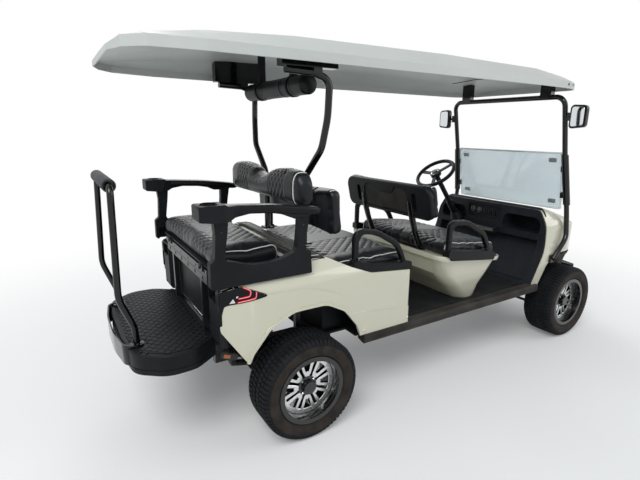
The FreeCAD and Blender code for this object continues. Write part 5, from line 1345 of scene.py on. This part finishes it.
def back_tray():
    """Brown-grey panel in the notched tray of the front back's shell: its colour is a painted reflection on the glossy
    black of the tray.
    """
    lean = math.radians(12)
    up, out = Vector((-math.sin(lean), 0, math.cos(lean))), Vector((-math.cos(lean), 0, -math.sin(lean)))
    line = softened([(-0.236, 0.030, 0.018), (-0.236, 0.202, 0.055), (-0.116, 0.202, 0.015), (-0.082, 0.154, 0.028),
                     (0.082, 0.154, 0.028), (0.116, 0.202, 0.015), (0.236, 0.202, 0.055), (0.236, 0.030, 0.018)], 5)
    bm = stacked(bmesh.new(), line, [(-0.001, 0), (0.0010, 0), (0.0018, 0.001)],
                 Vector((0.036, 0, 1.068)) - out * 0.007, LEFT, up, out)
    fitted("front_back_tray", bm, DUST_AND_REFLECTION_GREY)


def seat_post_covers():
    """Flat-oval covers over the two posts of the front back, with their bolts."""
    line = [Vector((x, 0, z)) for x, z in ((0.0235, 1.186), (0.0265, 1.150), (0.035, 1.105), (0.046, 1.065),
                                          (0.061, 1.015), (0.083, 0.958), (0.106, 0.903), (0.128, 0.850))]
    line = evened(line, 0.016)
    bm, places = bmesh.new(), []
    for way in (1, -1):
        rings = []
        for k, point in enumerate(line):
            run = (line[min(k + 1, len(line) - 1)] - line[max(k - 1, 0)]).normalized()
            back = LEFT.cross(run).normalized()
            drawn = 0.006 if k in (0, len(line) - 1) else 0
            wide = 0.0235 - 0.0045 * min(1, max(0, (1.06 - point.z) / 0.10)) - drawn
            centre = point + LEFT * way * POST_Y
            rings.append(full_ring(bm, centre, LEFT * wide, back * 0.0165, 20, 0.6))
            if k in (2, 5, 9):
                rear = back if back.x < 0 else -back
                places.append((centre + rear * 0.0160, rear, run))
        walled(bm, rings)
    fitted("seat_post_covers", bm, TUBE)
    set_out("seat_post_bolts", button_head(0.0055, 0.0035), places, CHASSIS, SATIN)


def corner_reflectors():
    """Small amber reflector and its bolt on a tab under each rear corner of the body."""
    tabs, lenses = bmesh.new(), bmesh.new()
    for way in (1, -1):
        out, run = Vector((0, way, 0)), Vector((0.93, 0, -0.37)).normalized()
        up = Vector((0.37, 0, 0.93)).normalized()
        place = Vector((-1.418, way * 0.532, 0.548))
        stacked(tabs, bar_outline(0.096, 0.034, 0.010), [(-0.003, 0.0008), (-0.002, 0), (0.0, 0), (0.001, 0.0008)],
                place + run * 0.014, run * way, up, out)
        stacked(lenses, bar_outline(0.036, 0.020, 0.005), [(0.0, 0), (0.004, 0), (0.0062, 0.002)], place, run * way, up,
                out)
    fitted("corner_reflector_tabs", tabs, POWDER)
    fitted("corner_reflectors", lenses, AMBER)


def tail_foot():
    """Closing strip under the tail panel between the posts, with a bright rod along it."""
    line = rectangle(-0.395, 0.395, 0.545, 0.622, 0.006, 3)
    bm = stacked(bmesh.new(), line, [(0.0, 0.001), (0.001, 0), (0.005, 0), (0.006, 0.001)], Vector((-1.4175, 0, 0)),
                 LEFT, UP, BACKWARD)
    fitted("tail_foot_strip", bm, BLACK)
    rod = [Vector((-1.4275, y, 0.632)) for y in (-0.385, -0.19, 0.0, 0.19, 0.385)]
    fitted("tail_foot_rod", cord_mesh(bmesh.new(), rod, 0.0035), CHROME)


def roof_gasket():
    """Dark cord drawn across the underside of the roof, behind its front edge."""
    line = []
    for k in range(-20, 21):
        y = 0.42 * k / 20
        place, facing = struck("roof", (1.155 - 0.35 * y * y, y, 1.80), (0, 0, 1))
        line.append(place + facing * 0.001)
    fitted("roof_gasket", cord_mesh(bmesh.new(), line, 0.0035), SATIN)


for make in (step_tread, sill_tread, floor_mats, tail_lamp_details, dash_details, steering_details, pane_details,
             sound_bar_details, mirror_details, headlight_details, grab_bar_details, cup_holder_rims,
             small_fasteners, tail_foot, surface_covers, arm_pads, back_tray, seat_post_covers, corner_reflectors,
             roof_gasket):
    make()


# Stage: floor, lamps and the camera


def seen_directly(tree):
    """One for rays from the camera, off gloss and through glass; zero for light on the object."""
    rays = add(tree, "ShaderNodeLightPath")
    first = add(tree, "ShaderNodeMath", {"operation": "MAXIMUM"},
                {0: rays.outputs["Is Camera Ray"], 1: rays.outputs["Is Transmission Ray"]})
    return add(tree, "ShaderNodeMath", {"operation": "MAXIMUM"},
               {0: first.outputs[0], 1: rays.outputs["Is Glossy Ray"]}).outputs[0]


def pale_floor():
    """Floor that keeps the shadow near the cart and goes over to plain white away from it."""
    material, tree, shader = new_material("pale_studio_floor", {
        "Base Color": "F4F4F3", "Roughness": 0.75})
    place = object_coordinates(tree)
    distance = add(tree, "ShaderNodeVectorMath", {"operation": "LENGTH"}, {0: place}).outputs["Value"]
    fade = add(tree, "ShaderNodeMapRange", {"interpolation_type": "SMOOTHSTEP"},
               {"Value": distance, "From Min": 1.6, "From Max": 5.0, "To Min": 0.12, "To Max": 1.0})
    seen = seen_directly(tree)
    amount = add(tree, "ShaderNodeMath", {"operation": "MULTIPLY"}, {0: fade.outputs["Result"], 1: seen})
    glow = add(tree, "ShaderNodeEmission", None, {"Color": (1, 1, 1, 1), "Strength": 1.0})
    mix = add(tree, "ShaderNodeMixShader", None,
              {0: amount.outputs[0], 1: shader.outputs["BSDF"], 2: glow.outputs[0]})
    outlet = next(node for node in tree.nodes if node.bl_idname == "ShaderNodeOutputMaterial")
    tree.links.new(mix.outputs[0], outlet.inputs["Surface"])
    bm = bmesh.new()
    bmesh.ops.create_grid(bm, x_segments=1, y_segments=1, size=30)
    painted(new_object("studio_floor", bm), material)


def studio_world():
    """White to the camera, to gloss and through glass; a plain soft grey for light."""
    world = bpy.data.worlds.new("studio")
    bpy.context.scene.world = world
    world.use_nodes = True
    tree = world.node_tree
    tree.nodes.clear()
    seen = seen_directly(tree)
    light = add(tree, "ShaderNodeBackground", None, {"Color": linear("DDE3EA"), "Strength": 0.56})
    backdrop = add(tree, "ShaderNodeBackground", None, {"Color": (1, 1, 1, 1), "Strength": 1.0})
    mix = add(tree, "ShaderNodeMixShader", None,
              {0: seen, 1: light.outputs[0], 2: backdrop.outputs[0]})
    add(tree, "ShaderNodeOutputWorld", None, {"Surface": mix.outputs[0]})


LAMPS = [
    # name, place, size across, power in watts
    ("key_softbox", (-4.5, -3.5, 6.0), 4.0, 290),
    ("fill_softbox", (5.5, -4.5, 4.0), 4.5, 110),
    ("back_softbox", (1.5, 6.0, 5.0), 5.0, 165),
]


def studio_lamps():
    for name, place, across, power in LAMPS:
        data = bpy.data.lights.new(name, "AREA")
        data.shape = "DISK"
        data.size = across
        data.energy = power
        lamp = bpy.data.objects.new(name, data)
        lamp.location = place
        aim = Vector((0, 0, 0.9)) - Vector(place)
        lamp.rotation_euler = aim.to_track_quat("-Z", "Y").to_euler()
        bpy.context.scene.collection.objects.link(lamp)


CAMERA_PLACE = Vector((-2.071, -2.486, 1.663))
CAMERA_YAW = math.radians(58.427)       # from +X towards +Y
CAMERA_PITCH = math.radians(-14.187)
CAMERA_ROLL = math.radians(0.274)
CAMERA_LENS = 24.71                     # mm on a 36 mm sensor


def photographers_camera():
    """Behind the right rear corner, a little above the roof struts' middle."""
    ahead = Vector((math.cos(CAMERA_PITCH) * math.cos(CAMERA_YAW),
                    math.cos(CAMERA_PITCH) * math.sin(CAMERA_YAW), math.sin(CAMERA_PITCH)))
    right = ahead.cross(Vector((0, 0, 1))).normalized()
    up = right.cross(ahead)
    c, s = math.cos(CAMERA_ROLL), math.sin(CAMERA_ROLL)
    right, up = right * c + up * s, up * c - right * s
    turn = Matrix((right, up, -ahead)).transposed().to_4x4()
    data = bpy.data.cameras.new("photograph")
    data.lens = CAMERA_LENS
    data.sensor_width = 36.0
    camera = bpy.data.objects.new("photograph", data)
    camera.matrix_world = Matrix.Translation(CAMERA_PLACE) @ turn
    bpy.context.scene.collection.objects.link(camera)
    bpy.context.scene.camera = camera


pale_floor()
studio_world()
studio_lamps()
photographers_camera()
bpy.context.scene.view_settings.view_transform = "Standard"
